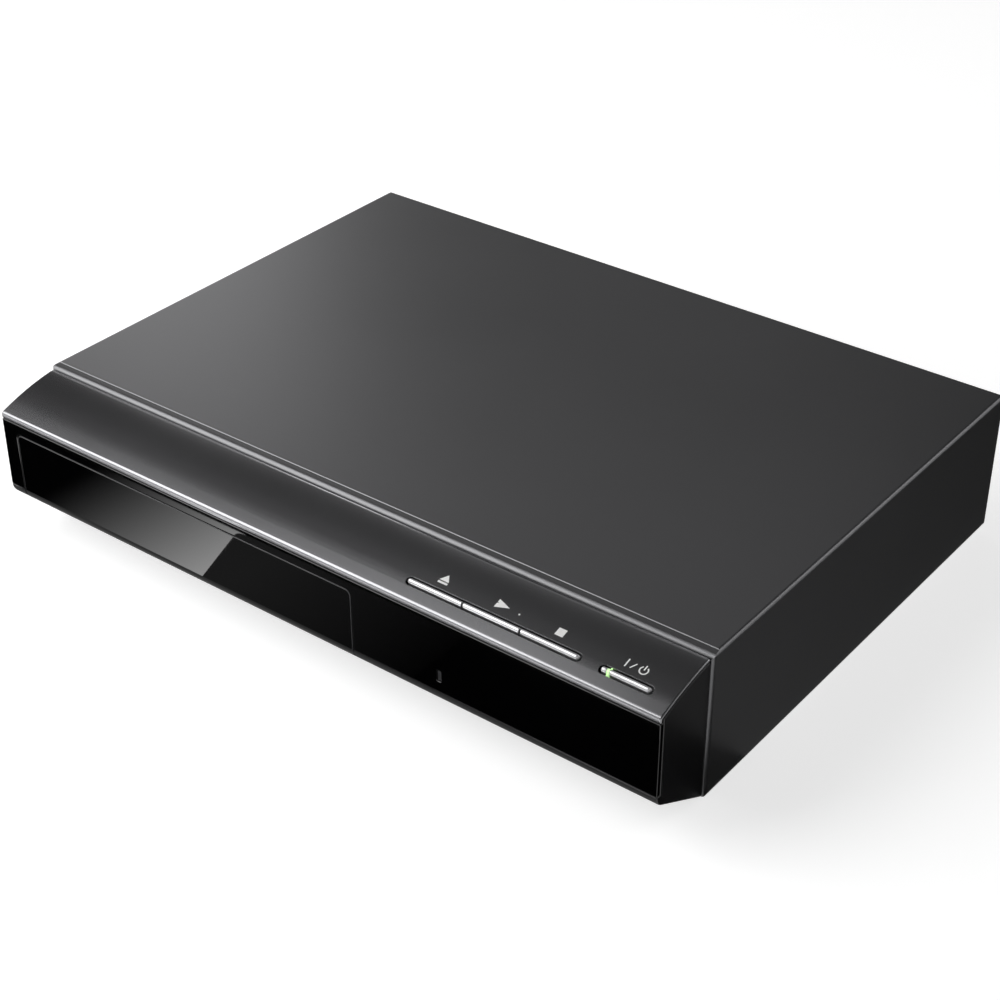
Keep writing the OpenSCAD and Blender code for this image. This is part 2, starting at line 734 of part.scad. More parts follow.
module key_switches() {
    plunger = key_flange_z - 2.2 - key_travel - 0.05;
    color([0.1, 0.1, 0.1]) on_slope() for (x = key_centres) translate([x, 0, 0]) {
        translate([-3, -3, key_board_z]) cube([6, 6, 3.2]);
        translate([0, 0, key_board_z]) cylinder(r = 1.7, h = plunger - key_board_z);
    }
}

module power_led() {
    color([0.6, 0.95, 0.5]) on_slope(light_x + light_w / 2) translate([0, 0, key_board_z]) {
        cylinder(r = 1.5, h = 4);
        translate([0, 0, 4]) sphere(1.5);
    }
}

module sensor_board() {
    color([0.62, 0.5, 0.28]) block([window_x - sensor_w / 2, front_y + 9, window_z - 8],
        [window_x + sensor_w / 2, front_y + 9 + board_t, window_z + 8]);
}

module ir_receiver() {
    color([0.12, 0.1, 0.12]) {
        block([window_x - 2.8, front_y + 6, window_z - 3.6],
            [window_x + 2.8, front_y + 9, window_z + 3.6]);
        translate([window_x, front_y + 6, window_z]) sphere(2.3);
    }
}

// ------------------------------------------------------ the tray and drive

// Hollows under the rim of the tray, which leave a wall, ribs and the rack's strip
module tray_hollows() {
    wall = 4;
    difference() {
        translate([tray_x - tray_edge + wall, tray_front_y + 3])
            square([tray_w - 2 * wall, tray_rear_y - tray_front_y - 6]);
        translate([tray_x, spindle_y]) circle(well_r + 2.2);
        translate([tray_x - tray_slot_w / 2 - 3, spindle_y]) square([tray_slot_w + 6, 200]);
        translate([rack_x - 6, tray_front_y]) square([9, 200]);
        for (a = [-140, -40, 40, 140]) translate([tray_x, spindle_y]) rotate(a)
            translate([well_r - 4, 0]) circle(scoop_r + 2);
        for (i = [0:5]) translate([tray_x - tray_edge, spindle_y + 12 + 17 * i])
            square([tray_w, 1.6]);
    }
}

module disc_tray() {
    edge = 0.8;                           // bevel round the wells
    color([0.07, 0.07, 0.075]) difference() {
        union() {
            along_z(tray_base_z, deck_z) translate([tray_x, 0])
                round_rect([-tray_edge, tray_front_y], [tray_edge, tray_rear_y], 2);
            translate([rack_x, tray_gear_pos[1], gear_z]) linear_extrude(tray_base_z - gear_z + 0.5)
                rack(-4, tray_travel + 5);
        }
        along_z(tray_base_z - 1, deck_z - 4.6) tray_hollows();
        // Wells for a large and for a small disc
        translate([tray_x, spindle_y, well_z]) cylinder(r = well_r, h = 9, $fn = 96);
        translate([tray_x, spindle_y, deck_z - edge])
            cylinder(r1 = well_r, r2 = well_r + edge, h = edge, $fn = 96);
        translate([tray_x, spindle_y, small_well_z]) cylinder(r = small_well_r, h = 9, $fn = 96);
        translate([tray_x, spindle_y, well_z - edge / 2])
            cylinder(r1 = small_well_r, r2 = small_well_r + edge / 2, h = edge / 2, $fn = 96);
        // Slot for the turntable and the pickup
        translate([tray_x, spindle_y, 0]) cylinder(r = 19, h = 99);
        block([tray_x - tray_slot_w / 2, spindle_y + 9, 0],
            [tray_x + tray_slot_w / 2, slot_rear_y, 99]);
        // Scoops for fingertips at the edge of the well
        for (a = [-140, -40, 40, 140]) translate([tray_x, spindle_y, well_z])
            rotate(a) translate([well_r - 4, 0, 0]) cylinder(r = scoop_r, h = 9);
        // Lightened rear deck
        for (s = [-1, 1]) translate([tray_x + s * 44, 0, 0])
            block([-14, slot_rear_y - 4, deck_z - 3.5], [14, tray_rear_y - 4, 99]);
        block([tray_x - 26, slot_rear_y + 4, deck_z - 3.5],
            [tray_x + 26, tray_rear_y - 4, 99]);
        // Rebates that run under the guides
        for (s = [-1, 1]) translate([tray_x + s * tray_edge, 0, 0])
            block([-2.6, tray_front_y + 2.2, deck_z - 2], [2.6, tray_rear_y + 1, 99]);
    }
}

module loader_frame() {
    guide_z = deck_z - 2 + guide_play;
    color([0.1, 0.1, 0.11]) difference() {
        union() {
            // Base ring
            block([tray_x - frame_out, rim_y + 4, frame_base_z],
                [tray_x + frame_out, frame_rear_y, frame_base_z + frame_base_t]);
            for (s = [-1, 1]) translate([tray_x, 0, 0]) {
                // Side walls with a ledge under the tray and guides over it
                translate([s * (frame_in + frame_wall / 2), 0, 0])
                    block([-frame_wall / 2, rim_y + 4, frame_base_z],
                        [frame_wall / 2, frame_rear_y, frame_top_z]);
                translate([s * (frame_in + frame_wall / 2), 0, 0])
                    block([-frame_wall / 2, frame_front_y, gear_deck_z - 2.2],
                        [frame_wall / 2, rim_y + 9, frame_top_z]);
                translate([s * (frame_in - 1.5), 0, 0])
                    block([-2, frame_front_y, tray_base_z - guide_play - 2.2],
                        [2, frame_rear_y, tray_base_z - guide_play]);
                for (y = [frame_front_y, -34, 34]) translate([s * (frame_in - 0.8), 0, 0])
                    block([-1.2, y, guide_z], [1.2, y + 14, guide_z + 1.6]);
            }
            // Ribs outside the left wall
            for (i = [0:4]) translate([tray_x - frame_out, rim_y + 38 + 22 * i, 0])
                block([-1.6, -0.8, frame_base_z], [1, 0.8, frame_top_z - 6]);
            // Front bar and gear deck
            block([tray_x - frame_out, frame_front_y, gear_deck_z - 2.2],
                [tray_x + frame_out, frame_front_y + 5, gear_deck_z]);
            block([tray_x + 30, frame_front_y, gear_deck_z - 2.2],
                [tray_x + 77, front_y + 37.5, gear_deck_z]);
            block([tray_x + 48.5, front_y + 37, gear_deck_z - 2.2],
                [tray_x + 77, front_y + 82, gear_deck_z]);
            // Hooks that guide the cam slider
            for (x = [cam_pin[0] - 9.5, cam_pin[0] + 9.5]) translate([x, cam_y, cam_deck_z]) {
                block([-2.5, -5.3, -1], [2.5, -4.15, 3.4]);
                block([-2.5, -5.3, 2.4], [2.5, -1.5, 3.4]);
                block([-2.5, 1.35, -1], [2.5, 2.5, 3.4]);
            }
            // Walls that stand the gear deck on the base ring
            block([tray_x + 47.6, rim_y + 4, frame_base_z],
                [tray_x + 50, rim_y + 20, gear_deck_z - 1]);
            // Bearing blocks of the lift frame
            for (s = [-1, 1]) translate([tray_x + s * 52.2, pivot[1], 0])
                block([-3.4, -5, frame_base_z], [3.4, 5, pivot[2] + 3.6]);
            // Rear stop of the tray's bay
            block([tray_x - frame_out, frame_rear_y - 2.4, frame_base_z],
                [tray_x + frame_out, frame_rear_y, gear_z - 2]);
        }
        // Window over the pickup frame
        block([tray_x - 47.6, spindle_y - 31, 0], [tray_x + 47.6, pivot[1] + 6.5, gear_deck_z - 2.3]);
        for (s = [-1, 1]) pin_x(pivot[1], pivot[2], 2 + running,
            tray_x + (s < 0 ? -56 : 48), tray_x + (s < 0 ? -48 : 56));
        // Cut-outs for the pulley, the belt and the motor
        block([tray_x + 59, front_y + 15, gear_deck_z],
            [tray_x + 70, front_y + 76, tray_base_z]);
        translate([motor_pos[0], motor_pos[1], 0])
            cylinder(r = loading_motor_r + 0.4, h = gear_deck_z - 2.2);
        translate([motor_pos[0], motor_pos[1], 0]) cylinder(r = 3.4, h = gear_deck_z + 1);
        for (p = loader_screw_places) translate([p[0], p[1], 0]) {
            cylinder(r = screw_r + 0.1, h = 60);
            translate([0, 0, gear_deck_z - 9]) cylinder(r = 3.6, h = 60);
        }
    }
    // Posts that the gears turn on
    color([0.1, 0.1, 0.11]) for (p = [tray_gear_pos, pinion_pos])
        translate([p[0], p[1], gear_deck_z - 1])
            cylinder(r = shaft_r, h = gear_z + gear_h - gear_deck_z + 0.6);
}

module tray_gear() {
    color([0.9, 0.9, 0.86]) translate([tray_gear_pos[0], tray_gear_pos[1], 0]) difference() {
        union() {
            along_z(gear_z, gear_z + gear_h - 0.2) gear(tray_gear_teeth, 180);
            along_z(gear_deck_z + 0.2, gear_z + 1) circle(3.4);
        }
        cylinder(r = shaft_r + running, h = 99);
        for (a = [0:72:288]) rotate(a) translate([5.6, 0, gear_z + 2])
            cylinder(r = 1.9, h = 9);
    }
}

module pulley_gear() {
    z0 = gear_deck_z + 0.3;
    color([0.9, 0.9, 0.86]) translate([pinion_pos[0], pinion_pos[1], 0]) difference() {
        union() {
            rotate_extrude() polygon([[0, z0], [pulley_groove_r + 1, z0],
                [pulley_groove_r + 1, z0 + 0.6], [pulley_groove_r, z0 + 1.2],
                [pulley_groove_r, z0 + 2.2], [pulley_groove_r + 1, z0 + 2.8],
                [pulley_groove_r + 1, z0 + 3.4], [0, z0 + 3.4]]);
            along_z(z0 + 3, gear_z + gear_h - 0.2) gear(pinion_teeth, pinion_turn);
        }
        cylinder(r = shaft_r + running, h = 99);
        for (a = [0:60:300]) rotate(a) translate([7.6, 0, z0 - 1]) cylinder(r = 1.5, h = 9);
    }
}

module loading_motor() {
    z0 = floor_z + 1.4;
    color([0.7, 0.71, 0.72]) translate([motor_pos[0], motor_pos[1], 0]) {
        translate([0, 0, z0]) cylinder(r = loading_motor_r, h = gear_deck_z - 2.25 - z0);
        translate([0, 0, gear_deck_z - 3]) cylinder(r = 3, h = 2);
    }
}

module motor_pulley() {
    z0 = gear_deck_z + 0.3;
    color([0.85, 0.78, 0.5]) translate([motor_pos[0], motor_pos[1], 0]) rotate_extrude()
        polygon([[0, z0], [motor_groove_r + 1, z0], [motor_groove_r + 1, z0 + 0.6],
            [motor_groove_r, z0 + 1.2], [motor_groove_r, z0 + 2.2],
            [motor_groove_r + 1, z0 + 2.8], [motor_groove_r + 1, z0 + 3.4], [0, z0 + 3.4]]);
}

// The belt runs straight between the two grooves
module belt_outline(grow) {
    big = pulley_groove_r + 0.12 + grow;
    small = motor_groove_r + 0.12 + grow;
    way = motor_pos - pinion_pos;
    dir = atan2(way[1], way[0]);
    lean = acos((big - small) / norm(way));
    ends = [for (s = [-1, 1]) [pinion_pos + big * [cos(dir + s * lean), sin(dir + s * lean)],
        motor_pos + small * [cos(dir + s * lean), sin(dir + s * lean)]]];
    translate(pinion_pos) circle(big);
    translate(motor_pos) circle(small);
    polygon([ends[0][0], ends[0][1], ends[1][1], ends[1][0]]);
}

module drive_belt() {
    z0 = gear_deck_z + 1.55;
    color([0.06, 0.06, 0.06]) along_z(z0, z0 + 0.9) difference() {
        belt_outline(0.9);
        belt_outline(0);
    }
}

// ------------------------------------------------------ the pickup frame

damper_places = [for (x = [-36, 36], y = [-12, 84]) [tray_x + x, spindle_y + y]];

module lift_frame() {
    color([0.12, 0.12, 0.13]) lowered() difference() {
        union() {
            block([tray_x - 46, spindle_y - 26, lift_z],
                [tray_x + 46, spindle_y + 96, lift_z + lift_t]);
            for (s = [-1, 1]) pin_x(pivot[1], pivot[2], 2, tray_x + (s < 0 ? -55 : 40),
                tray_x + (s < 0 ? -40 : 55));
            for (x = [-44.4, 44.4]) translate([tray_x + x, 0, 0])
                block([-1.6, spindle_y - 26, lift_z], [1.6, spindle_y + 96, lift_z + 5.4]);
            // Arm and pin that ride in the cam
            block([cam_pin[0] - 4, spindle_y - 30, lift_z],
                [cam_pin[0] + 4, spindle_y - 24, cam_pin[2] + 2]);
            pin_y(cam_pin[0], cam_pin[2], 1.5, spindle_y - 38.5, spindle_y - 25);
        }
        block([tray_x - 30.5, spindle_y - 20, 0], [tray_x + 31.5, spindle_y + 84, 99]);
    }
}

module traverse_plate() {
    color([0.72, 0.73, 0.74]) lowered() difference() {
        union() {
            block([tray_x - 40.5, spindle_y - 19, plate_z],
                [tray_x + 40.5, spindle_y + 89, plate_z + plate_t]);
            // Rod posts
            for (x = [rod_left_x, rod_right_x], y = [spindle_y + 13, spindle_y + 81])
                translate([x, y, 0]) block([-2.8, 0, plate_z], [2.8, 3, rod_z + 2.4]);
            // Screw bearing
            translate([screw_x, spindle_y + 81, 0])
                block([-2.8, 0, screw_z - 2.6], [2.8, 3, plate_z + 2.4]);
        }
        block([tray_x - 19.6, spindle_y + 13.6, 0], [screw_x + 5.5, spindle_y + 79, plate_z + plate_t]);
        block([screw_x - 5.5, spindle_y - 8, 0], [screw_x + 5.5, spindle_y + 14, plate_z + plate_t]);
        for (x = [rod_left_x, rod_right_x]) pin_y(x, rod_z, rod_r, spindle_y, spindle_y + 90);
        pin_y(screw_x, screw_z, screw_rod_r + running, spindle_y + 78, spindle_y + 85);
        for (p = damper_places) translate([p[0], p[1], 0]) cylinder(r = 3, h = 99);
        translate([tray_x, spindle_y, 0]) cylinder(r = 4, h = 99);
    }
}

module dampers() {
    color([0.2, 0.35, 0.25]) lowered() for (p = damper_places) translate([p[0], p[1], 0])
        rotate_extrude() polygon([[0, lift_z + lift_t], [4.2, lift_z + lift_t], [4.2, plate_z],
            [2.9, plate_z], [2.9, plate_z + plate_t], [4.2, plate_z + plate_t],
            [3.4, plate_z + plate_t + 1.4], [0, plate_z + plate_t + 1.4]]);
}

module guide_rods() {
    color([0.85, 0.86, 0.88]) lowered() for (x = [rod_left_x, rod_right_x])
        pin_y(x, rod_z, rod_r, spindle_y + 13, spindle_y + 84);
}

module spindle_motor() {
    color([0.78, 0.79, 0.8]) lowered() translate([tray_x, spindle_y, 0]) {
        translate([0, 0, plate_z + plate_t]) cylinder(r = 12.8, h = 1);
        translate([0, 0, plate_z + plate_t + 1]) cylinder(r = 12.2, h = 5.3);
        translate([0, 0, plate_z - 1.5]) cylinder(r = 3.9, h = 3);
    }
}

module turntable() {
    z0 = plate_z + plate_t + 6.5;
    color([0.14, 0.14, 0.15]) lowered() translate([tray_x, spindle_y, 0]) rotate_extrude()
        polygon([[0, z0], [10, z0], [10, disc_z - 1.6], [turntable_r, disc_z - 1.6],
            [turntable_r, disc_z - 0.7], [11.4, disc_z - 0.7], [11.4, disc_z - 0.3],
            [hub_r, disc_z - 0.3], [hub_r, disc_z + 1.3], [hub_r - 1.2, disc_z + 2.2],
            [0, disc_z + 2.2]]);
}

module turntable_pad() {
    color([0.05, 0.05, 0.05]) lowered() translate([tray_x, spindle_y, disc_z - 0.7])
        difference() {
            cylinder(r = turntable_r - 0.3, h = 0.7);
            translate([0, 0, -1]) cylinder(r = 11.6, h = 3);
        }
}

module pickup() {
    bottom = rod_z - 2.2;
    color([0.25, 0.26, 0.28]) lowered() difference() {
        union() {
            // Die-cast body with cut corners
            along_z(bottom, rod_z + 3.4) translate([tray_x, lens_y])
                polygon([[-14, -7.8], [11, -7.8], [14, -5], [14, 13], [9, 18], [-13, 18],
                    [-18.5, 12], [-18.5, -3]]);
            // Sleeves on the rods
            block([rod_left_x - 3, lens_y - 5, bottom], [tray_x - 18, lens_y + 15, rod_z + 2.4]);
            block([tray_x + 13, lens_y - 5, bottom], [rod_right_x + 3, lens_y + 15, rod_z + 2.4]);
            // Arm to the feed screw
            block([rod_right_x + 2, lens_y + 2, rod_z - 1.2], [screw_x + 3, lens_y + 9, rod_z + 1.6]);
            block([screw_x - 3, lens_y + 2, screw_z - 2.8], [screw_x + 3, lens_y + 9, rod_z + 1.6]);
        }
        for (x = [rod_left_x, rod_right_x])
            pin_y(x, rod_z, rod_r + running, lens_y - 9, lens_y + 20);
        pin_y(screw_x, screw_z, screw_rod_r + running, lens_y - 9, lens_y + 20);
        // Well round the lens holder, and a pocket in the lid
        translate([tray_x, lens_y, rod_z + 1]) cylinder(r = 6.2, h = 9);
        block([tray_x - 10, lens_y + 8, rod_z + 2.6], [tray_x + 7, lens_y + 15, rod_z + 9]);
    }
}

module objective_lens() {
    color([0.35, 0.45, 0.75]) lowered() translate([tray_x, lens_y, 0]) {
        translate([0, 0, rod_z + 1]) cylinder(r = 5.2, h = 4.4);
        translate([0, 0, rod_z + 5.4]) cylinder(r1 = 2.6, r2 = 1.2, h = 0.8);
    }
}

module feed_motor() {
    color([0.7, 0.71, 0.72]) lowered() pin_y(screw_x, screw_z, 5, spindle_y - 7, spindle_y + 9);
}

module feed_screw() {
    color([0.8, 0.81, 0.83]) lowered()
        pin_y(screw_x, screw_z, screw_rod_r, spindle_y + 9.2, spindle_y + 83.5);
}

// A plate that slides across and lifts the frame by its pin
module cam_slider() {
    low_z = pivot[2] + (cam_y - pivot[1]) * sin(lift_angle)
        + (cam_pin[2] - pivot[2]) * cos(lift_angle);
    high_z = cam_pin[2];
    slant = atan2(high_z - low_z, cam_run);
    slant_len = norm([high_z - low_z, cam_run]);
    color([0.88, 0.88, 0.84]) translate([cam_pin[0], cam_y, 0]) difference() {
        union() {
            block([-32, -1.2, cam_deck_z + 0.1], [12, 1.2, high_z + 3.6]);
            block([-32, -4, cam_deck_z + 0.1], [12, 1.2, cam_deck_z + 2.2]);
        }
        translate([0, 0, low_z]) rotate([0, 180 + slant, 0]) translate([0, 9, 0])
            rotate([90, 0, 0]) linear_extrude(18) slot(-2.1, slant_len + 2.1, 4.2);
        // The back of the plate is trimmed along the slot
        translate([12, 9, low_z + 5]) rotate([0, 180 + slant, 0]) rotate([90, 0, 0])
            linear_extrude(18) translate([-20, -30]) square([60, 30]);
    }
}

module clamp_bridge() {
    color([0.72, 0.73, 0.74]) difference() {
        union() {
            block([tray_x - frame_out, spindle_y - 15, bridge_z],
                [tray_x + frame_out, spindle_y + 15, bridge_z + bridge_t]);
            along_z(bridge_z, bridge_z + bridge_t) translate([tray_x, spindle_y]) circle(21);
            for (s = [-1, 1]) translate([tray_x, spindle_y + s * 14.4, 0])
                block([-frame_out + 6, -0.6, bridge_z], [frame_out - 6, 0.6, bridge_z + 4]);
        }
        translate([tray_x, spindle_y, 0]) cylinder(r = 10, h = 99);
        translate([tray_x, spindle_y, bridge_z + bridge_t]) cylinder(r = 16, h = 9);
        for (x = [-66.6, 66.6]) translate([tray_x + x, spindle_y, 0])
            cylinder(r = 1.4, h = 99);
    }
}

module clamper() {
    color([0.12, 0.12, 0.13]) translate([tray_x, spindle_y, 0]) rotate_extrude()
        polygon([[0, clamp_z + 2.6], [8, clamp_z + 2.6], [8, clamp_z], [13, clamp_z],
            [13, bridge_z - 0.3], [9.4, bridge_z - 0.3], [9.4, bridge_z + bridge_t + 0.3],
            [0, bridge_z + bridge_t + 0.3]]);
}

module clamper_cap() {
    z0 = bridge_z + bridge_t + 0.3;
    color([0.7, 0.71, 0.72]) translate([tray_x, spindle_y, 0]) rotate_extrude()
        polygon([[0, z0], [13.5, z0], [13.5, z0 + 1], [12.5, z0 + 1.4], [0, z0 + 1.4]]);
}

// -------------------------------------------------------------- the boards

// A circuit board with holes at its screws
module board(x0, y0, x1, y1, places) {
    difference() {
        block([x0, y0, board_z], [x1, y1, board_z + board_t]);
        for (p = places) translate([p[0], p[1], 0]) cylinder(r = screw_r + 0.1, h = 60);
    }
}

module main_board() {
    color([0.1, 0.32, 0.18])
        board(main_x0, boards_front_y, main_x1, back_y - 3, board_screw_places);
}

module power_board() {
    color([0.66, 0.52, 0.3])
        board(power_x0, boards_front_y, power_x1, back_y - 8, board_screw_places);
}

// Chips as [x, y, width, depth, height]
module board_chips() {
    chips = [[50, 5, 20, 20, 1.6], [44, -22, 11, 22, 1.2], [68, -16, 12, 18, 1.2],
        [70, 20, 8, 8, 1.5], [44, 40, 14, 9, 1.8], [66, 44, 6, 5, 1.5], [52, -38, 22, 4, 4],
        [74, 2, 5, 3, 1.2]];
    color([0.08, 0.08, 0.08]) for (c = chips) translate([c[0], c[1], board_z + board_t])
        translate([-c[2] / 2, -c[3] / 2, 0]) cube([c[2], c[3], c[4]]);
}

module capacitor(x, y, r, h) {
    translate([x, y, board_z + board_t]) difference() {
        cylinder(r = r, h = h);
        translate([-r, -0.2, h - 0.4]) cube([2 * r, 0.4, 1]);
    }
}

module board_capacitors() {
    color([0.15, 0.17, 0.3]) for (c = [[36, 22], [36, 32], [78, 32], [78, 52], [58, 60], [74, -32]])
        capacitor(c[0], c[1], 3.1, 8);
}

module power_capacitors() {
    color([0.15, 0.17, 0.3]) {
        capacitor(power_x0 + 12, 42, 8, 22);
        for (i = [0:2]) capacitor(power_x0 + 10 + 11 * i, boards_front_y + 15, 4.2, 16);
    }
}

module transformer() {
    x = power_x0 + 21;
    y = 4;
    z = board_z + board_t;
    color([0.72, 0.62, 0.2]) {
        block([x - 9, y - 8, z], [x + 9, y + 8, z + 19]);
        block([x - 12, y - 12, z + 3], [x + 12, y - 8, z + 17]);
        block([x - 12, y + 8, z + 3], [x + 12, y + 12, z + 17]);
    }
}

module heat_sink() {
    z = board_z + board_t;
    x = power_x0 + 3;
    y = -14;
    fins = 9;
    pitch = 3;
    color([0.75, 0.76, 0.77]) {
        block([x, y, z], [x + 1.5, y + pitch * (fins - 1) + 1, z + 22]);
        for (i = [0:fins - 1])
            block([x - 2.6, y + pitch * i, z + 4], [x, y + pitch * i + 1, z + 22]);
    }
}

module line_filter() {
    z = board_z + board_t;
    color([0.2, 0.2, 0.2]) difference() {
        translate([power_x0 + 30, 66, z]) cylinder(r = 8, h = 9);
        translate([power_x0 + 30, 66, z + 1.5]) cylinder(r = 3.2, h = 9);
    }
}

// A flat ribbon bent along a line of points in Y and Z
module ribbon(points, t) {
    for (i = [0:len(points) - 2]) {
        a = points[i];
        way = points[i + 1] - a;
        translate(a) rotate(atan2(way[1], way[0])) translate([0, -t / 2])
            square([norm(way), t]);
        if (i > 0) translate(a) circle(t / 2, $fn = 16);
    }
}

module front_ribbon() {
    way = [[rim_y - 5, 36.2], [rim_y - 5, 18], [rim_y + 6, board_z + 9],
        [boards_front_y + 4, board_z + 9], [boards_front_y + 6.5, board_z + board_t + 4.3]];
    color([0.85, 0.86, 0.88]) along_x(16, 52) ribbon(way, 0.4);
}

module chassis_screws() {
    color([0.65, 0.66, 0.68]) {
        for (p = loader_screw_places)
            translate([p[0], p[1], frame_base_z + frame_base_t]) screw(5.5, screw_r - 0.1);
        for (p = board_screw_places)
            translate([p[0], p[1], board_z + board_t]) screw(6, screw_r - 0.1);
    }
}

// ---------------------------------------------------------------- the rear

module jack_block() {
    y0 = back_y - 12.5;
    color([0.06, 0.06, 0.065]) difference() {
        union() {
            block([jack_x - 7, y0, board_z + board_t],
                [jack_x + 2 * jack_pitch + 6.8, back_y - sheet_t - 0.1, jack_high_z + 7]);
            block([jack_x + 2 * jack_pitch + 7.2, y0, board_z + board_t],
                [jack_x + 3 * jack_pitch + 7, back_y - sheet_t - 0.1, jack_high_z + 7]);
        }
        for (p = jack_places) pin_y(p[0], p[1], 5.25, back_y - 8.5, back_y + 9);
    }
}

neck_r = jack_r - 0.5;                   // radius of the shell inside the panel

// Insulator of a jack: a collar around the shell and a core inside it
module jack_ring(places) {
    base = back_y - 8.5;
    for (p = places) translate([p[0], base, p[1]]) rotate([-90, 0, 0]) difference() {
        rotate_extrude() polygon([[0, 0], [5.2, 0], [5.2, 8.5], [5.9, 8.5], [5.9, 9.4],
            [neck_r + 0.03, 9.4], [neck_r + 0.03, 5], [jack_r - 1.13, 5],
            [jack_r - 1.13, 7.5 + jack_out], [0, 7.5 + jack_out]]);
        translate([0, 0, 3]) cylinder(r = socket_r, h = 30);
    }
}

module jack_shells() {
    color([0.8, 0.8, 0.78]) for (p = jack_places)
        translate([p[0], back_y - 3.5, p[1]]) rotate([-90, 0, 0]) difference() {
            union() {
                cylinder(r = neck_r, h = 3.5 + jack_out);
                translate([0, 0, 4.5]) cylinder(r = jack_r, h = jack_out - 1);
            }
            translate([0, 0, -1]) cylinder(r = jack_r - 1.1, h = 30);
        }
}

module ring_yellow() { color([0.9, 0.75, 0.1]) jack_ring([jack_places[0]]); }
module ring_white() { color([0.9, 0.9, 0.88]) jack_ring([jack_places[1]]); }
module ring_red() { color([0.75, 0.08, 0.08]) jack_ring([jack_places[2], jack_places[5]]); }
module ring_green() { color([0.1, 0.55, 0.2]) jack_ring([jack_places[3]]); }
module ring_blue() { color([0.1, 0.25, 0.7]) jack_ring([jack_places[4]]); }
module ring_orange() { color([0.9, 0.4, 0.08]) jack_ring([jack_places[6]]); }

// Bush that the mains cord leaves through, with flats against turning
module cord_gland() {
    color([0.05, 0.05, 0.05]) difference() {
        union() {
            intersection() {
                pin_y(gland_pos[0], gland_pos[1], 6.3, back_y - 7, back_y + 0.1);
                block([gland_pos[0] - 9, back_y - 9, gland_pos[1] - 5.5],
                    [gland_pos[0] + 9, back_y + 9, gland_pos[1] + 5.5]);
            }
            translate([gland_pos[0], back_y, gland_pos[1]]) rotate([-90, 0, 0])
                cylinder(r1 = 8, r2 = 6.6, h = 2.4);
        }
        pin_y(gland_pos[0], gland_pos[1], cord_hole_r, back_y - 20, back_y + 20);
    }
}

// ------------------------------------------------------------------- nodes

top_cover();
base_pan();
rear_panel();
front_bezel();
front_lens();
control_panel();
tray_door();
disc_tray();
eject_key();
play_key();
stop_key();
power_key();
power_light();
feet();
front_board();
key_switches();
power_led();
sensor_board();
ir_receiver();
loader_frame();
clamp_bridge();
clamper();
clamper_cap();
lift_frame();
traverse_plate();
dampers();
spindle_motor();
turntable();
turntable_pad();
guide_rods();
pickup();
objective_lens();
feed_motor();
feed_screw();
cam_slider();
loading_motor();
motor_pulley();
drive_belt();
pulley_gear();
tray_gear();
main_board();
board_chips();
board_capacitors();
power_board();
transformer();
power_capacitors();
heat_sink();
line_filter();
jack_block();
jack_shells();
ring_yellow();
ring_white();
ring_red();
ring_green();
ring_blue();
ring_orange();
cord_gland();
cover_screws();
chassis_screws();
front_ribbon();
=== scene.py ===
import json
import math

import bmesh
import bpy
from mathutils import Matrix, Vector
from mathutils.bvhtree import BVHTree


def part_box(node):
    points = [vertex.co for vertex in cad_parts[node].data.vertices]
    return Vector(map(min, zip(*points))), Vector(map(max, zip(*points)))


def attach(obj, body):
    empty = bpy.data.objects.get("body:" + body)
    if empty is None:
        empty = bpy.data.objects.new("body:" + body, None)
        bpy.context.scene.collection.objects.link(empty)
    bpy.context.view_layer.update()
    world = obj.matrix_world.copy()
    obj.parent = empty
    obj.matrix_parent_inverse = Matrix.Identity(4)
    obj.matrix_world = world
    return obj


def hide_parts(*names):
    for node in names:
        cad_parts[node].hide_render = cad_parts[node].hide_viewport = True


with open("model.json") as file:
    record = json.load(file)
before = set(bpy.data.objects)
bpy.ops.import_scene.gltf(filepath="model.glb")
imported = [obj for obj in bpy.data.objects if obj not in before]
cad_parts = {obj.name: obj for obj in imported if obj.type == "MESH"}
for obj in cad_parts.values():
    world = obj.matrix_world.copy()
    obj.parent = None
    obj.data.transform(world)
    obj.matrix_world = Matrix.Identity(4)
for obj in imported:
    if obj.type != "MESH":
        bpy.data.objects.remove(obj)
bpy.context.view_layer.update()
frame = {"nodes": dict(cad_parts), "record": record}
nodes = frame["nodes"]
record = frame["record"]
scene = bpy.context.scene
scene.view_settings.view_transform = "Standard"
MM = 0.001


# ---------------------------------------------------------------- camera

CAMERA_AT = (0.3584, -0.4693, 0.3948)
CAMERA_TURN, CAMERA_DIP = 37.535, 33.052  # degrees left of the rear, and below the horizon
SENSOR_W = 36.0
FOCAL = 2.018  # in widths of the sensor
NEAREST, FARTHEST = 0.01, 60.0  # what the camera still sees

camera_data = bpy.data.cameras.new("camera")
camera_data.sensor_width = SENSOR_W
camera_data.lens = FOCAL * SENSOR_W
camera_data.clip_start, camera_data.clip_end = NEAREST, FARTHEST
camera = bpy.data.objects.new("camera", camera_data)
scene.collection.objects.link(camera)
camera.location = CAMERA_AT
camera.rotation_euler = (math.radians(90 - CAMERA_DIP), 0.0, math.radians(CAMERA_TURN))
scene.camera = camera


# ---------------------------------------------------------------- node trees

MIX_FACTOR, MIX_A, MIX_B, MIX_RESULT = 0, 6, 7, 2  # sockets of a Mix node set to colours


def add(tree, kind, **values):
    """A node with its properties and sockets set."""
    node = tree.nodes.new("ShaderNode" + kind)
    for key, value in values.items():
        if key in node.inputs:
            node.inputs[key].default_value = value
        else:
            setattr(node, key, value)
    return node


def put(tree, value, socket):
    """Lead a socket, a number or a colour into a socket."""
    if isinstance(value, bpy.types.NodeSocket):
        tree.links.new(value, socket)
    elif socket.type == "RGBA":
        socket.default_value = (*value, 1.0)
    else:
        socket.default_value = value


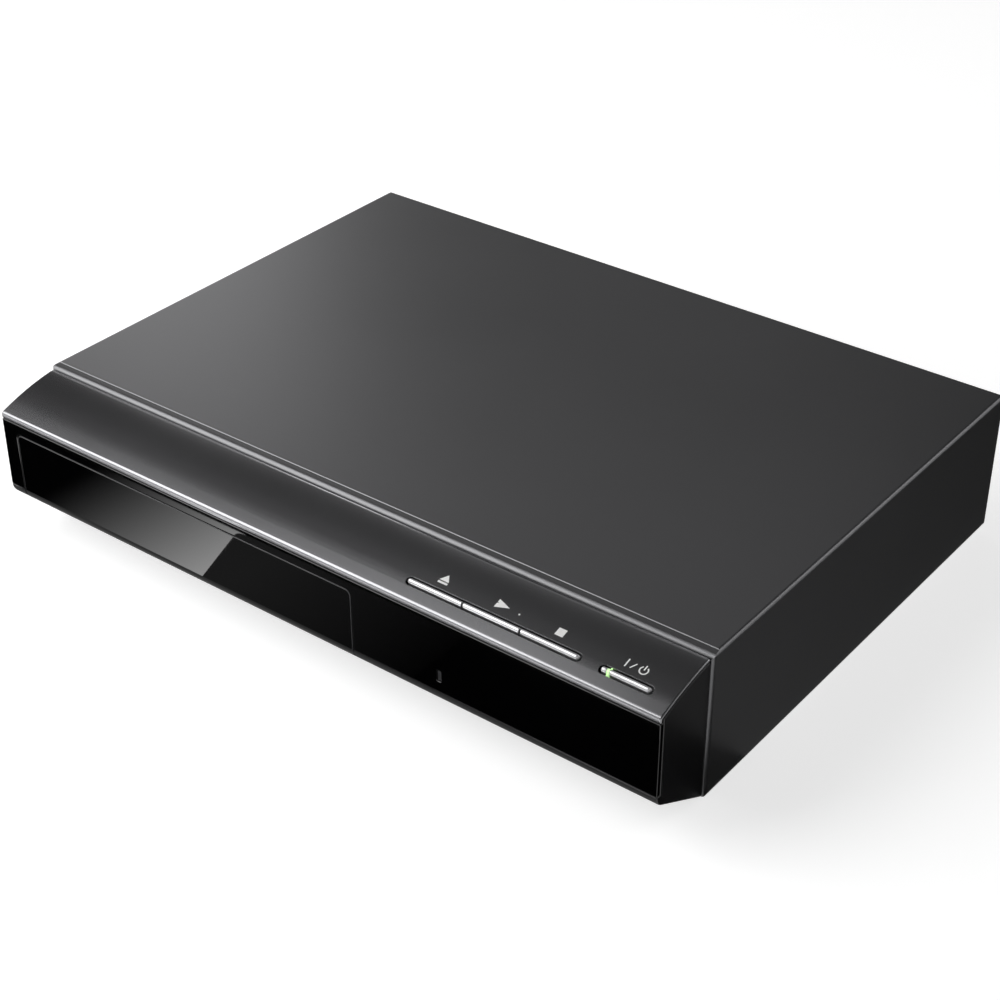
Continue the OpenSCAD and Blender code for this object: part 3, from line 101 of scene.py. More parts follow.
def calc(tree, operation, *values):
    """The result of one step of arithmetic on numbers or sockets."""
    made = add(tree, "Math", operation=operation)
    for value, socket in zip(values, made.inputs):
        put(tree, value, socket)
    return made.outputs[0]


def mix(tree, factor, a, b):
    """Blend of two colours or sockets."""
    made = add(tree, "Mix", data_type="RGBA")
    for value, socket in ((factor, MIX_FACTOR), (a, MIX_A), (b, MIX_B)):
        put(tree, value, made.inputs[socket])
    return made.outputs[MIX_RESULT]


def spread(tree, value, low, high, start=0.3, end=0.7):
    """What goes from start to end, taken from low to high and held there on both sides."""
    made = add(tree, "MapRange", **{"From Min": start, "From Max": end,
                                    "To Min": low, "To Max": high})
    put(tree, value, made.inputs["Value"])
    return made.outputs[0]


def grey_ramp(tree, value, stops):
    """Grey levels at places along a value, and what lies between them."""
    made = add(tree, "ValToRGB")
    for _ in range(len(stops) - 2):
        made.color_ramp.elements.new(0.5)
    for stop, (place, level) in zip(made.color_ramp.elements, stops):
        stop.position = place
        stop.color = (level, level, level, 1.0)
    put(tree, value, made.inputs[0])
    return made.outputs[0]


def coordinates(tree, stretch=(1.0, 1.0, 1.0)):
    """The object's own coordinates, in metres, with each axis scaled."""
    place = add(tree, "TexCoord")
    scale = add(tree, "Mapping", Scale=stretch)
    put(tree, place.outputs["Object"], scale.inputs["Vector"])
    return scale.outputs[0]


def along(tree, axis, where):
    """One axis of coordinates."""
    split = add(tree, "SeparateXYZ")
    put(tree, where, split.inputs[0])
    return split.outputs[axis]


def noise(tree, where, scale, detail=3.0, rough=0.55):
    made = add(tree, "TexNoise", Scale=scale, Detail=detail, Roughness=rough)
    put(tree, where, made.inputs["Vector"])
    return made.outputs["Fac"]


def material(name, settings):
    """A material of one shader, with its node tree and that shader."""
    made = bpy.data.materials.new(name)
    made.use_nodes = True
    tree = made.node_tree
    tree.nodes.clear()
    out = add(tree, "OutputMaterial")
    shader = add(tree, "BsdfPrincipled")
    tree.links.new(shader.outputs[0], out.inputs["Surface"])
    for socket, value in settings.items():
        put(tree, value, shader.inputs[socket])
    return made, tree, shader


# ---------------------------------------------------------------- light, in metres

def toward(left_of_rear, up, distance):
    """A point seen from the player, turned left from +Y and raised, in degrees."""
    turn, rise = math.radians(left_of_rear), math.radians(up)
    return distance * Vector((-math.sin(turn) * math.cos(rise), math.cos(turn) * math.cos(rise),
                              math.sin(rise)))


def soft_light(name, at, aim, size, radiance):
    """A softbox of even radiance that faces a point."""
    data = bpy.data.lights.new(name, "AREA")
    data.shape = "RECTANGLE"
    data.size, data.size_y = size
    data.energy = radiance * math.pi * size[0] * size[1]
    lamp = bpy.data.objects.new(name, data)
    scene.collection.objects.link(lamp)
    lamp.location = at
    lamp.rotation_euler = (Vector(aim) - Vector(at)).to_track_quat("-Z", "Y").to_euler()
    lamp.visible_camera = False


# Name, direction and distance, what it faces, width and height, radiance
SOFTBOXES = (("softbox_rear", (54, 20, 1.3), (-0.02, 0, 0.05), (0.30, 0.79), 1.35),
             ("softbox_back", (32, 43, 1.3), (0, 0, 0.05), (0.60, 0.30), 0.6),
             ("softbox_over", (114, 55, 1.1), (0, -0.09, 0.05), (0.42, 0.66), 2.0),
             ("softbox_front", (138, 34, 1.1), (0, -0.09, 0.05), (0.80, 0.80), 4.6),
             ("softbox_right", (-40, 31, 1.3), (0.1, 0, 0.04), (0.70, 0.44), 2.4))
for name, direction, aim, size, radiance in SOFTBOXES:
    soft_light(name, toward(*direction), aim, size, radiance)

# The sky dims with height, and more so behind the player, above the horizon
SKY_BY_HEIGHT = ((0.18, 1.0), (0.28, 0.63), (0.38, 0.11), (0.46, 0.25), (0.54, 0.11), (0.72, 0.11),
                 (0.84, 0.30))
SKY_ACROSS = ((0.02, 1.0), (0.36, 0.15), (0.60, 0.15), (0.80, 1.0))
HORIZON = (0.03, 0.15)  # heights between which the dimming across sets in
WHITE = (1.0, 1.0, 1.0)
BLACK = (0.0, 0.0, 0.0)


def studio_sky():
    """The world: white at the horizon, grey and dark above."""
    world = bpy.data.worlds.new("studio")
    world.use_nodes = True
    tree = world.node_tree
    tree.nodes.clear()
    out = add(tree, "OutputWorld")
    light = add(tree, "Background", Strength=1.0)
    tree.links.new(light.outputs[0], out.inputs["Surface"])
    direction = add(tree, "TexCoord").outputs["Generated"]
    height = along(tree, "Z", direction)
    across = spread(tree, along(tree, "X", direction), 0.0, 1.0, -1.0, 1.0)
    shade = mix(tree, spread(tree, height, 0.0, 1.0, *HORIZON), WHITE,
                grey_ramp(tree, across, SKY_ACROSS))
    both = add(tree, "VectorMath", operation="MULTIPLY")
    put(tree, grey_ramp(tree, height, SKY_BY_HEIGHT), both.inputs[0])
    put(tree, shade, both.inputs[1])
    put(tree, both.outputs[0], light.inputs["Color"])
    return world


scene.world = studio_sky()


# ---------------------------------------------------------------- materials

def scaled(colour, factor):
    return tuple(min(1.0, channel * factor) for channel in colour)


def finish(slot, colour, rough, metallic=0.0, spec=0.5, grain=1800, depth=0.02, blotch=22,
           tone=0.12, polish=0.05, stretch=(1.0, 1.0, 1.0), second=None):
    """A surface with drifting tone and polish and a fine moulded, brushed or painted grain.
    grain and blotch count features per metre, depth is the grain's height in mm."""
    made, tree, shader = material(slot, {"Metallic": metallic, "Specular IOR Level": spec})
    where = coordinates(tree, stretch)
    broad = noise(tree, where, blotch, 4.0)
    fine = noise(tree, where, grain, 2.0)
    tint = mix(tree, spread(tree, broad, 0.0, 1.0), scaled(colour, 1 - tone),
               scaled(second or colour, 1 + tone))
    tint = mix(tree, spread(tree, fine, 0.0, 0.5), tint, scaled(colour, 1 + 1.5 * tone))
    put(tree, tint, shader.inputs["Base Color"])
    uneven = calc(tree, "ADD", spread(tree, broad, rough - polish, rough + polish),
                  spread(tree, fine, -polish / 2, polish / 2))
    put(tree, uneven, shader.inputs["Roughness"])
    bump = add(tree, "Bump", Strength=1.0, Distance=depth * MM)
    put(tree, fine, bump.inputs["Height"])
    put(tree, bump.outputs[0], shader.inputs["Normal"])
    return made


def mottled(tree, scale, a, b):
    """Two colours that drift into each other."""
    tone = noise(tree, coordinates(tree), scale)
    return mix(tree, spread(tree, tone, 0.0, 1.0), a, b)


def lens_glass():
    """Coated glass, from blue to violet."""
    made, tree, shader = material("lens_glass", {"Roughness": 0.03, "Coat Weight": 0.6,
                                                 "Metallic": 0.4})
    put(tree, mottled(tree, 300, (0.05, 0.07, 0.20), (0.16, 0.06, 0.22)),
        shader.inputs["Base Color"])
    return made


def lamp_green():
    """Green plastic that is lit from within."""
    made, tree, shader = material("lamp_green", {"Roughness": 0.22, "Emission Strength": 1.2})
    glow = mottled(tree, 900, (0.10, 0.62, 0.08), (0.26, 0.86, 0.16))
    put(tree, glow, shader.inputs["Base Color"])
    put(tree, glow, shader.inputs["Emission Color"])
    return made


LIGHT_X = 112.4
CORE_END, GLOW_END = 0.25, 0.60  # from the light's middle, in mm


def lamp_window():
    """The light across the power key: clear plastic that glows along its middle."""
    made, tree, shader = material("lamp_window", {"Roughness": 0.25, "Emission Strength": 0.9})
    off = calc(tree, "SUBTRACT", along(tree, "X", coordinates(tree)), LIGHT_X * MM)
    core = spread(tree, calc(tree, "ABSOLUTE", off), 1.0, 0.0, CORE_END * MM, GLOW_END * MM)
    for socket, dim, bright in (("Base Color", (0.40, 0.44, 0.38), (0.50, 0.80, 0.36)),
                                ("Emission Color", (0.05, 0.12, 0.03), (0.48, 0.80, 0.34))):
        put(tree, mix(tree, core, dim, bright), shader.inputs[socket])
    return made


MATERIALS = {
    "cover_paint": finish("cover_paint", (0.13, 0.13, 0.134), 0.36, metallic=0.9, grain=2600,
                          depth=0.006, blotch=9, tone=0.05, polish=0.015),
    "panel_paint": finish("panel_paint", (0.022, 0.022, 0.023), 0.42, spec=0.3, grain=2400,
                          depth=0.010, blotch=14, tone=0.06, polish=0.03),
    "bezel_plastic": finish("bezel_plastic", (0.007, 0.007, 0.0075), 0.32, spec=0.45,
                            grain=3200, depth=0.003, blotch=30, tone=0.08, polish=0.03),
    "gloss_black": finish("gloss_black", (0.0007, 0.0007, 0.0008), 0.035, grain=900,
                          depth=0.0003, blotch=12, tone=0.10, polish=0.008),
    "gunmetal": finish("gunmetal", (0.22, 0.22, 0.227), 0.25, metallic=1.0, grain=5200,
                       depth=0.001, blotch=20, tone=0.03, polish=0.006),
    "key_silver": finish("key_silver", (0.66, 0.66, 0.67), 0.34, metallic=0.9, grain=1500,
                         depth=0.004, blotch=60, tone=0.06, stretch=(0.08, 1.0, 1.0)),
    "sheet_steel": finish("sheet_steel", (0.56, 0.57, 0.58), 0.36, metallic=1.0, grain=900,
                          depth=0.006, blotch=110, tone=0.14, polish=0.09),
    "screw_black": finish("screw_black", (0.025, 0.025, 0.027), 0.38, metallic=0.6, grain=2600,
                          depth=0.010, blotch=200, tone=0.15, polish=0.08),
    "screw_steel": finish("screw_steel", (0.55, 0.53, 0.46), 0.30, metallic=1.0,
                          depth=0.005, blotch=220, tone=0.14, polish=0.08),
    "steel_rod": finish("steel_rod", (0.66, 0.67, 0.69), 0.16, metallic=1.0, grain=2500,
                        depth=0.002, blotch=90, tone=0.06, stretch=(1.0, 0.1, 1.0)),
    "tray_plastic": finish("tray_plastic", (0.030, 0.030, 0.032), 0.46, spec=0.4, grain=2200,
                           depth=0.014, blotch=26, tone=0.10),
    "frame_plastic": finish("frame_plastic", (0.026, 0.026, 0.028), 0.50, spec=0.4, grain=1900,
                            depth=0.016, blotch=34, tone=0.14, polish=0.06),
    "gear_plastic": finish("gear_plastic", (0.78, 0.77, 0.72), 0.40, grain=1500, depth=0.008,
                           blotch=120, tone=0.05),
    "belt_rubber": finish("belt_rubber", (0.018, 0.018, 0.018), 0.62, spec=0.3, grain=2600,
                          blotch=160, tone=0.2, polish=0.08),
    "foot_rubber": finish("foot_rubber", (0.020, 0.020, 0.020), 0.66, spec=0.3, grain=1700,
                          depth=0.030, blotch=120, tone=0.18, polish=0.07),
    "damper_rubber": finish("damper_rubber", (0.035, 0.035, 0.037), 0.60, spec=0.3,
                            grain=1900, blotch=140, tone=0.15, polish=0.06),
    "motor_can": finish("motor_can", (0.60, 0.60, 0.60), 0.26, metallic=1.0, grain=1300,
                        depth=0.004, blotch=150, tone=0.08, polish=0.07,
                        stretch=(1.0, 1.0, 0.12)),
    "pickup_metal": finish("pickup_metal", (0.36, 0.37, 0.39), 0.42, metallic=0.8, grain=1500,
                           depth=0.018, blotch=130, tone=0.14, polish=0.08),
    "brass_part": finish("brass_part", (0.66, 0.48, 0.20), 0.24, metallic=1.0, grain=1500,
                         depth=0.004, blotch=300, tone=0.08, polish=0.06),
    "board_green": finish("board_green", (0.020, 0.110, 0.045), 0.34, grain=420, depth=0.030,
                          blotch=70, tone=0.20, polish=0.08, second=(0.03, 0.14, 0.05)),
    "board_tan": finish("board_tan", (0.46, 0.30, 0.13), 0.48, grain=700, depth=0.012,
                        blotch=60, polish=0.06, second=(0.50, 0.35, 0.17)),
    "chip_black": finish("chip_black", (0.016, 0.016, 0.017), 0.48, grain=2600, depth=0.010,
                         blotch=130, tone=0.16, polish=0.07),
    "can_blue": finish("can_blue", (0.03, 0.06, 0.20), 0.30, grain=1200, depth=0.006,
                       blotch=150, polish=0.06),
    "coil_yellow": finish("coil_yellow", (0.62, 0.45, 0.06), 0.40, grain=1600, depth=0.03,
                          blotch=110, tone=0.14, polish=0.07),
    "fin_aluminium": finish("fin_aluminium", (0.70, 0.71, 0.72), 0.32, metallic=1.0,
                            grain=1400, depth=0.005, blotch=120, tone=0.08, polish=0.07,
                            stretch=(1.0, 1.0, 0.1)),
    "jack_metal": finish("jack_metal", (0.70, 0.68, 0.62), 0.20, metallic=1.0,
                         depth=0.003, blotch=260, tone=0.08, polish=0.06),
    "ribbon_white": finish("ribbon_white", (0.72, 0.72, 0.70), 0.46, grain=800, depth=0.03,
                           blotch=90, tone=0.05, stretch=(1.0, 0.05, 0.05)),
    "lens_glass": lens_glass(),
    "lamp_green": lamp_green(),
}
for ring, hue in (("yellow", (0.72, 0.50, 0.03)), ("white", (0.88, 0.88, 0.87)),
                  ("red", (0.50, 0.02, 0.02)), ("green", (0.02, 0.26, 0.07)),
                  ("blue", (0.02, 0.07, 0.36)), ("orange", (0.72, 0.22, 0.02))):
    MATERIALS["ring_" + ring] = finish("ring_" + ring, hue, 0.34, depth=0.006, blotch=220,
                                       tone=0.06)
LAMP_WINDOW = lamp_window()

slot_of = {part["node"]: part["material_slot"] for part in record["subparts"]}
body_of = {node: body for body, held in record["behaviour"]["bodies"].items() for node in held}

for name, part in nodes.items():
    for place in part.material_slots:
        place.material = MATERIALS[slot_of[name]]
nodes["power_light"].material_slots[0].material = LAMP_WINDOW


# ---------------------------------------------------------------- pieces, in mm

def finished(name, form, body, slot, look=None):
    """A piece of a form, which rides on a body and has the finish of a slot."""
    mesh = bpy.data.meshes.new(name)
    form.to_mesh(mesh)
    form.free()
    mesh.materials.append(look or MATERIALS[slot])
    made = bpy.data.objects.new(name, mesh)
    scene.collection.objects.link(made)
    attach(made, body)
    return made


FLAT_TURN, SHARP_TURN = 0.6, 28.0  # degrees between faces that count as one, or as an edge
SLOT_R = 0.07
# In metres, as the nodes' meshes are: what counts as one point or as an end, and where the
# control panel's slots for the keys lie
WELD, END_DEPTH = 2e-6, 1e-5
SLOT_Y = (-0.1020, -0.0900)


def plain_form(node):
    """A node's own form with each flat face in one piece."""
    form = bmesh.new()
    form.from_mesh(nodes[node].data)
    bmesh.ops.remove_doubles(form, verts=form.verts, dist=WELD)
    bmesh.ops.dissolve_limit(form, angle_limit=math.radians(FLAT_TURN), verts=form.verts,
                             edges=form.edges)
    bmesh.ops.recalc_face_normals(form, faces=form.faces)
    return form


def softened(node, radius, end_radius=None, slot_y=None, ends_only=False):
    """A node's own form with its sharp outer edges rounded as a moulding's or a fold's are.
    Its left and right ends may take another radius, in mm, or be all that is rounded, and
    what lies between two depths away from the ends, in metres, stays crisp."""
    form = plain_form(node)
    limit = math.radians(SHARP_TURN)
    end_radius = end_radius or radius
    end_x = max(abs(vert.co.x) for vert in form.verts) - END_DEPTH
    widest = max(radius, end_radius)
    weight = form.edges.layers.float.new("bevel_weight_edge")
    for face in form.faces:
        face.smooth = True
    for edge in form.edges:
        angle = edge.calc_face_angle(0.0)
        if edge.is_manifold and edge.is_convex and angle > limit:
            at_end = all(abs(vert.co.x) > end_x for vert in edge.verts)
            in_slot = slot_y and all(slot_y[0] < vert.co.y < slot_y[1]
                                     and abs(vert.co.x) < end_x for vert in edge.verts)
            between = 0.0 if ends_only else SLOT_R if in_slot else radius
            edge[weight] = (end_radius if at_end else between) / widest
            edge.smooth = at_end or not ends_only
        else:
            edge.smooth = angle < limit
    made = finished(node + "_rounded", form, body_of[node], slot_of[node])
    rounding = made.modifiers.new("rounding", "BEVEL")
    rounding.limit_method = "WEIGHT"
    rounding.width = widest * MM
    rounding.segments = 3
    rounding.use_clamp_overlap = False
    even = made.modifiers.new("even", "WEIGHTED_NORMAL")
    even.keep_sharp = True
    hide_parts(node)


softened("control_panel", 0.25, end_radius=0.6, slot_y=SLOT_Y)
softened("front_bezel", 0.45, ends_only=True)
for node, radius in (("front_lens", 0.25), ("tray_door", 0.32), ("eject_key", 0.18),
                     ("play_key", 0.18), ("stop_key", 0.18), ("power_key", 0.18)):
    softened(node, radius)


def tube(points, radius, around=10):
    """A round bead along an open path of points, in mm, closed at both ends."""
    form = bmesh.new()
    rings = []
    turns = [math.tau * k / around for k in range(around)]
    for i, point in enumerate(points):
        here = Vector(point)
        ahead = Vector(points[min(i + 1, len(points) - 1)])
        behind = Vector(points[max(i - 1, 0)])
        path = (ahead - behind).normalized()
        side = path.cross(Vector((0, 1, 0))).normalized()
        out = side.cross(path)
        rings.append([form.verts.new((here + radius * (side * math.cos(turn)
                                                       + out * math.sin(turn))) * MM)
                      for turn in turns])
    for ring, after in zip(rings, rings[1:]):
        for k in range(around):
            j = (k + 1) % around
            form.faces.new((ring[k], ring[j], after[j], after[k])).smooth = True
    form.faces.new(rings[0])
    form.faces.new(rings[-1])
    bmesh.ops.recalc_face_normals(form, faces=form.faces)
    return form


def prisms(pairs):
    """Closed forms, each between two outlines with as many points, in metres."""
    form = bmesh.new()
    for pair in pairs:
        low, high = ([form.verts.new(point) for point in outline] for outline in pair)
        form.faces.new(low)
        form.faces.new(high[::-1])
        for k in range(len(low)):
            j = (k + 1) % len(low)
            form.faces.new((low[k], low[j], high[j], high[k]))
    bmesh.ops.recalc_face_normals(form, faces=form.faces)
    return form


ARC_STEPS = 8


def along_arc(radius, start, end):
    """Points round a centre at 0, 0, from one angle to another, in degrees."""
    turns = (math.radians(start + (end - start) * step / ARC_STEPS)
             for step in range(ARC_STEPS + 1))
    return [(radius * math.cos(turn), radius * math.sin(turn)) for turn in turns]


door_low, door_high = (Vector(corner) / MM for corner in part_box("tray_door"))
BEAD_R = 0.25
CORNER_R = 2.0
CHIN_R, CHIN_Z = 5.0, 19.0
CHIN_END = 240  # degrees, where the chin's rounding goes over into the belly


def door_edge():
    """The door's moulded edge, a fine bead that catches the light."""
    chin = [(door_low.y + CHIN_R + across, CHIN_Z + up)
            for across, up in along_arc(CHIN_R - BEAD_R, 180, CHIN_END)]
    corner_y, corner_z = door_low.y + BEAD_R, door_high.z - CORNER_R
    left = [(door_low.x + CORNER_R + across, corner_y, corner_z + up)
            for across, up in along_arc(CORNER_R - BEAD_R, 180, 90)]
    right = [(door_high.x - CORNER_R + across, corner_y, corner_z + up)
             for across, up in along_arc(CORNER_R - BEAD_R, 90, 0)]
    path = ([(door_low.x + BEAD_R, y, z) for y, z in reversed(chin)] + left + right
            + [(door_high.x - BEAD_R, y, z) for y, z in chin])
    finished("door_edge", tube(path, BEAD_R), body_of["tray_door"], "tray_plastic")


WINDOW_X, WINDOW_Z, WINDOW_W, WINDOW_H = 56.0, 24.9, 1.46, 3.86
WINDOW_BACK, WINDOW_FACE = 1.6, 0.6  # behind the front, at its back and between its ribs
RIBS = 3


def sensor_window():
    """The ribbed window of the remote sensor, in its opening in the lens."""
    rib_r = WINDOW_W / RIBS / 2
    ridge = along_arc(rib_r, 180, 0)
    profile = [(-WINDOW_W / 2, WINDOW_BACK)]
    for k in range(RIBS):
        middle = rib_r * (2 * k + 1) - WINDOW_W / 2
        profile += [(middle + across, WINDOW_FACE - up) for across, up in ridge[min(k, 1):]]
    profile.append((WINDOW_W / 2, WINDOW_BACK))
    low, high = ([Vector((WINDOW_X + x, door_low.y + y, WINDOW_Z + end * WINDOW_H / 2)) * MM
                  for x, y in profile] for end in (-1, 1))
    finished("sensor_window", prisms([(low, high)]), "case", "tray_plastic")


KEY_Y, KEY_Z, KEY_TILT = -99.40, 49.577, 17.619  # the slot for the key, and its tilt in degrees
GUIDE_W, GUIDE_L, GUIDE_H = 0.50, 3.10, 0.40
GUIDE_SINK, GUIDE_EDGE = 0.32, 0.08  # how deep it lies in the slot, and its edges' rounding


def light_guide():
    """The guide that carries the green light across the power key's slot."""
    form = bmesh.new()
    bmesh.ops.create_cube(form, size=1.0)
    bmesh.ops.scale(form, vec=Vector((GUIDE_W, GUIDE_L, GUIDE_H)) * MM, verts=form.verts)
    bmesh.ops.bevel(form, geom=form.edges[:], offset=GUIDE_EDGE * MM, offset_type="OFFSET",
                    segments=2, profile=0.5, affect="EDGES")
    bmesh.ops.translate(form, vec=(0, 0, -GUIDE_SINK * MM), verts=form.verts)
    bmesh.ops.rotate(form, cent=(0, 0, 0), verts=form.verts,
                     matrix=Matrix.Rotation(math.radians(KEY_TILT), 3, "X"))
    bmesh.ops.translate(form, vec=(LIGHT_X * MM, KEY_Y * MM, KEY_Z * MM), verts=form.verts)
    finished("light_guide", form, body_of["power_light"], "lamp_green", LAMP_WINDOW)


RIM_R, RIM_Y, RIM_Z, RIM_END = 0.20, -81.95, 53.12, 133.2


def panel_rim():
    """The fine raised rim of the control panel along the cover."""
    path = [(x, RIM_Y, RIM_Z) for x in (-RIM_END, 0, RIM_END)]
    finished("panel_rim", tube(path, RIM_R), "case", "gunmetal")


door_edge()
sensor_window()
light_guide()
panel_rim()


# ---------------------------------------------------------------- printed symbols, in mm

INK_DEPTH = 0.03
ABOVE = 100.0
DOWN = Vector((0, 0, -1))

panel = bmesh.new()
panel.from_mesh(nodes["control_panel"].data)
panel_tree = BVHTree.FromBMesh(panel)
panel.free()


def printed(name, outlines, x, y):
    """Flat ink shapes, given in mm round a centre, laid on the sloping panel."""
    pairs = []
    for outline in outlines:
        above = (Vector(((x + across) * MM, (y + up) * MM, ABOVE * MM)) for across, up in outline)
        laid = [panel_tree.ray_cast(point, DOWN) for point in above]
        pairs.append([[hit + side * INK_DEPTH * MM * normal for hit, normal, _, _ in laid]
                      for side in (1, -1)])
    finished(name, prisms(pairs), "case", "ring_white")


def rectangle(x0, y0, x1, y1):
    return [(x0, y0), (x1, y0), (x1, y1), (x0, y1)]


def bar(x0, y0, x1, y1, width):
    """A stroke from one point to another."""
    half = Vector((x1 - x0, y1 - y0)).normalized() * width / 2
    side = Vector((-half.y, half.x))
    return [(x0 + side.x, y0 + side.y), (x0 - side.x, y0 - side.y),
            (x1 - side.x, y1 - side.y), (x1 + side.x, y1 + side.y)]


def arc(radius, start, end, width, steps=20):
    """Short strokes along part of a circle."""
    strokes = []
    for i in range(steps):
        a, b = (math.radians(start + (end - start) * (i + k) / steps) for k in (0, 1))
        inner, outer = radius - width / 2, radius + width / 2
        strokes.append([(outer * math.cos(a), outer * math.sin(a)),
                        (outer * math.cos(b), outer * math.sin(b)),
                        (inner * math.cos(b), inner * math.sin(b)),
                        (inner * math.cos(a), inner * math.sin(a))])
    return strokes


def dot(radius, sides=12):
    turns = (math.tau * k / sides for k in range(sides))
    return [(radius * math.cos(turn), radius * math.sin(turn)) for turn in turns]


SYMBOL_Y = -94.1
EJECT_X, PLAY_X, DOT_X, STOP_X, POWER_X = 50.0, 71.3, 77.6, 92.2, 120.7
STROKE, THIN_STROKE = 0.42, 0.36

printed("eject_symbol", [[(-1.75, -0.75), (1.75, -0.75), (0, 1.7)],
                         rectangle(-1.75, -1.85, 1.75, -1.15)], EJECT_X, SYMBOL_Y)
printed("play_symbol", [[(-2.2, -1.6), (2.5, 0), (-2.2, 1.6)]], PLAY_X, SYMBOL_Y - 0.1)
printed("stop_symbol", [rectangle(-1.4, -1.35, 1.4, 1.35)], STOP_X, SYMBOL_Y - 0.3)
printed("raised_dot", [dot(0.28)], DOT_X, SYMBOL_Y - 0.6)
printed("power_symbol", [bar(-5.7, -1.25, -5.7, 1.6, STROKE),
                         bar(-4.1, -1.0, -2.85, 1.0, THIN_STROKE),
                         bar(0, 0.1, 0, 1.8, STROKE)] + arc(1.3, 125, 415, STROKE),
        POWER_X, SYMBOL_Y - 0.5)


# ---------------------------------------------------------------- stage, in metres

def flat_piece(name, outline, z, look):
    mesh = bpy.data.meshes.new(name)
    mesh.from_pydata([(x, y, z) for x, y in outline], [], [range(len(outline))])
    mesh.materials.append(look)
    made = bpy.data.objects.new(name, mesh)
    scene.collection.objects.link(made)
    return made


FLOOR_END = 25.0
NEAR, FAR = 0.9, 2.4  # from the middle, where the floor starts to whiten and where it ends
NEAR_LEVEL, FAR_LEVEL = 0.66, 0.92


def floor_paper():
    """Pale paper that shows white to the camera, in gloss and through glass, and takes the
    player's shadow."""
    made, tree, shader = material("floor_paper", {"Base Color": (0.62, 0.62, 0.62),
                                                  "Roughness": 0.9, "Specular IOR Level": 0.1,
                                                  "Emission Color": WHITE})
    rays = add(tree, "LightPath").outputs
    shown = calc(tree, "MAXIMUM", calc(tree, "MAXIMUM", rays["Is Camera Ray"],
                                       rays["Is Glossy Ray"]), rays["Is Transmission Ray"])
    away = add(tree, "VectorMath", operation="LENGTH")
    put(tree, coordinates(tree), away.inputs[0])
    level = spread(tree, away.outputs["Value"], NEAR_LEVEL, FAR_LEVEL, NEAR, FAR)
    put(tree, calc(tree, "MULTIPLY", shown, level), shader.inputs["Emission Strength"])
    return made


flat_piece("floor", rectangle(-FLOOR_END, -FLOOR_END, FLOOR_END, FLOOR_END), 0.0, floor_paper())

# Cards just over the floor, seen in reflections only, as a studio has round a gloss product
CARD_Z, LIT_Z = 0.0003, 0.0006
CARD_LEFT, CARD_RIGHT = -0.34, 0.132
LIP_Y, FRONT_Y, CHIN_Y, UNDER_Y, UNDER_REAR = -0.178, -0.1530, -0.1225, -0.0970, -0.0400
SIDE_X, SIDE_FAR, SIDE_REAR = 0.1355, 0.36, 0.30
RIGHT_Y, LEFT_Y, DIM_Y = -0.104, -0.10, -0.056
REAR_Y, REAR_FAR = 0.112, 0.34
# Glow of the card below the chin: painted half shade at the edge of the player's shadow, seen in
# reflections
CHIN_SHADE_LEVEL = 0.28
GAP = 0.0002


def mirrored_card(name, outline, z, look):
    """A card that shows in reflections alone."""
    card = flat_piece(name, outline, z, look)
    card.visible_camera = False
    card.visible_diffuse = False
    card.visible_shadow = False
    card.visible_transmission = False


def dull(name, **settings):
    """A black card without gloss, or one that is lit."""
    return material(name, {"Base Color": BLACK, "Specular IOR Level": 0.0, **settings})[0]


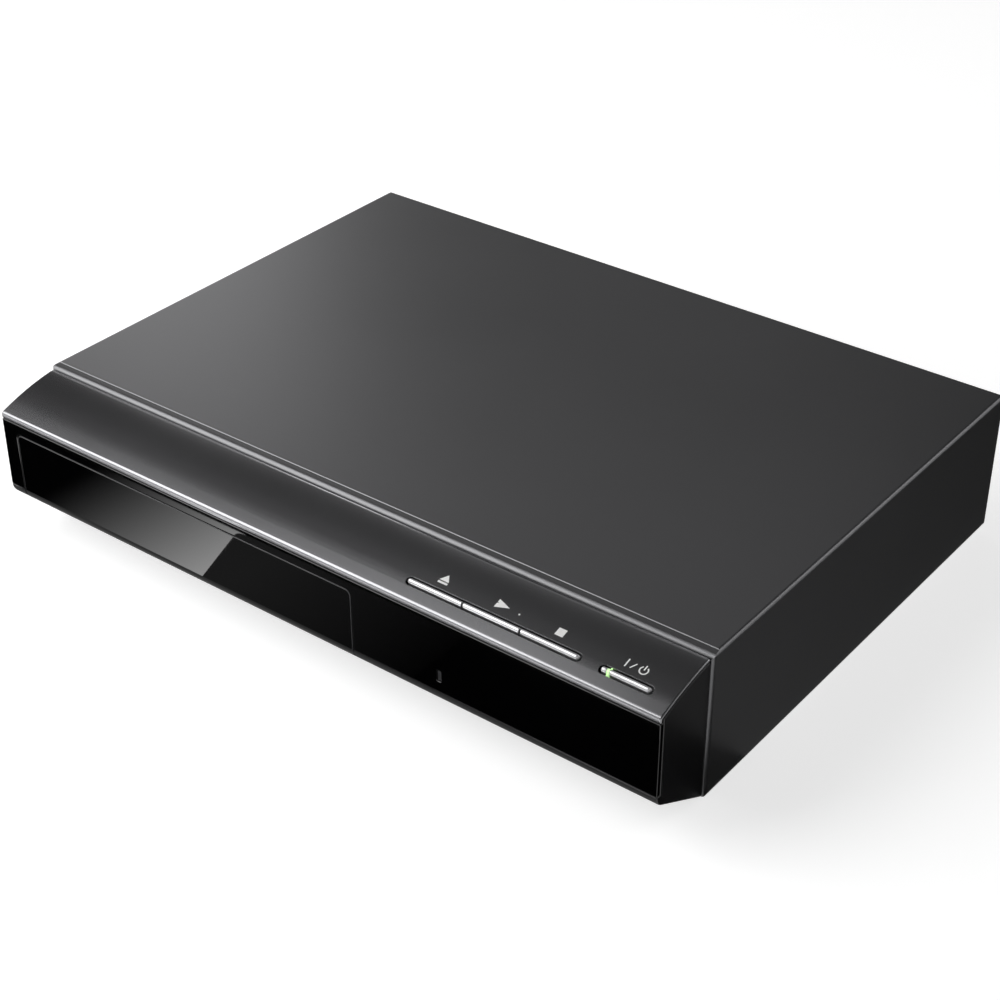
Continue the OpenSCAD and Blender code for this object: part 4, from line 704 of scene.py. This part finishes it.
# Black ones keep the gloss sides dark. The one under the player is painted shadow: in reflections
# it stands for the floor's shade beneath the player, which the floor's glow would hide. A grey one
# below the chin is painted half shade at the edge of that shadow
black = dull("black_card")
for name, outline in (("card_front", rectangle(CARD_LEFT, FRONT_Y, CARD_RIGHT, CHIN_Y)),
                      # Under the player: painted shadow, the floor's shade there as the gloss
                      # mirrors it
                      ("card_under", rectangle(CARD_LEFT, UNDER_Y, CARD_RIGHT, UNDER_REAR)),
                      ("card_right", rectangle(SIDE_X, RIGHT_Y, SIDE_FAR, SIDE_REAR)),
                      ("card_left", rectangle(-SIDE_FAR, LEFT_Y, -SIDE_X, SIDE_REAR)),
                      ("card_rear", rectangle(-CARD_RIGHT, REAR_Y, CARD_RIGHT, REAR_FAR))):
    mirrored_card(name, outline, CARD_Z, black)
# The grey card is painted half shade, which the chin mirrors at the edge of the player's shadow
grey = dull("half_shade_card", **{"Emission Color": WHITE, "Emission Strength": CHIN_SHADE_LEVEL})
mirrored_card("half_shade_card_chin", rectangle(CARD_LEFT, CHIN_Y, CARD_RIGHT, UNDER_Y), CARD_Z, grey)


def glowing_card(name, outline, level, start=None, end=None, axis="X", curve=1.0):
    """A card that is lit evenly, or rises to its level from start to end along an axis."""
    glow = bpy.data.materials.new(name)
    glow.use_nodes = True
    tree = glow.node_tree
    tree.nodes.clear()
    out = add(tree, "OutputMaterial")
    light = add(tree, "Emission", Strength=level)
    tree.links.new(light.outputs[0], out.inputs["Surface"])
    if start is not None:
        rise = spread(tree, along(tree, axis, coordinates(tree)), 0.0, 1.0, start, end)
        strength = calc(tree, "MULTIPLY", calc(tree, "POWER", rise, curve), level)
        put(tree, strength, light.inputs["Strength"])
    mirrored_card(name, outline, LIT_Z, glow)


# The lip over the lens mirrors a strip in front of the cards, the cover's side a dim card
glowing_card("strip_lip", rectangle(CARD_LEFT, LIP_Y, CARD_RIGHT, FRONT_Y - GAP), 3.2)
glowing_card("card_side", rectangle(SIDE_X, DIM_Y, SIDE_FAR, SIDE_REAR), 0.105,
             start=0.22, end=-0.08, axis="Y")

# A strip of light gives the reflection on the tray's door, and a fainter one goes on from
# its slanted end, which has a small round corner
STRIP_LEFT, STRIP_RIGHT, STRIP_Y = -0.30, 0.03, -0.1506
STRIP_END = [(-0.0615, CHIN_Y), (-0.0705, -0.1480), (-0.0706, -0.1492), (-0.0699, -0.1500),
             (-0.0676, STRIP_Y)]
glowing_card("light_strip", [(STRIP_LEFT, CHIN_Y)] + STRIP_END + [(STRIP_LEFT, STRIP_Y)], 3.3,
             start=-0.145, end=-0.064, curve=1.9)
glowing_card("strip_faint", [(STRIP_RIGHT, CHIN_Y), (STRIP_RIGHT, STRIP_Y)] + STRIP_END[::-1],
             0.13, start=0.035, end=-0.05)
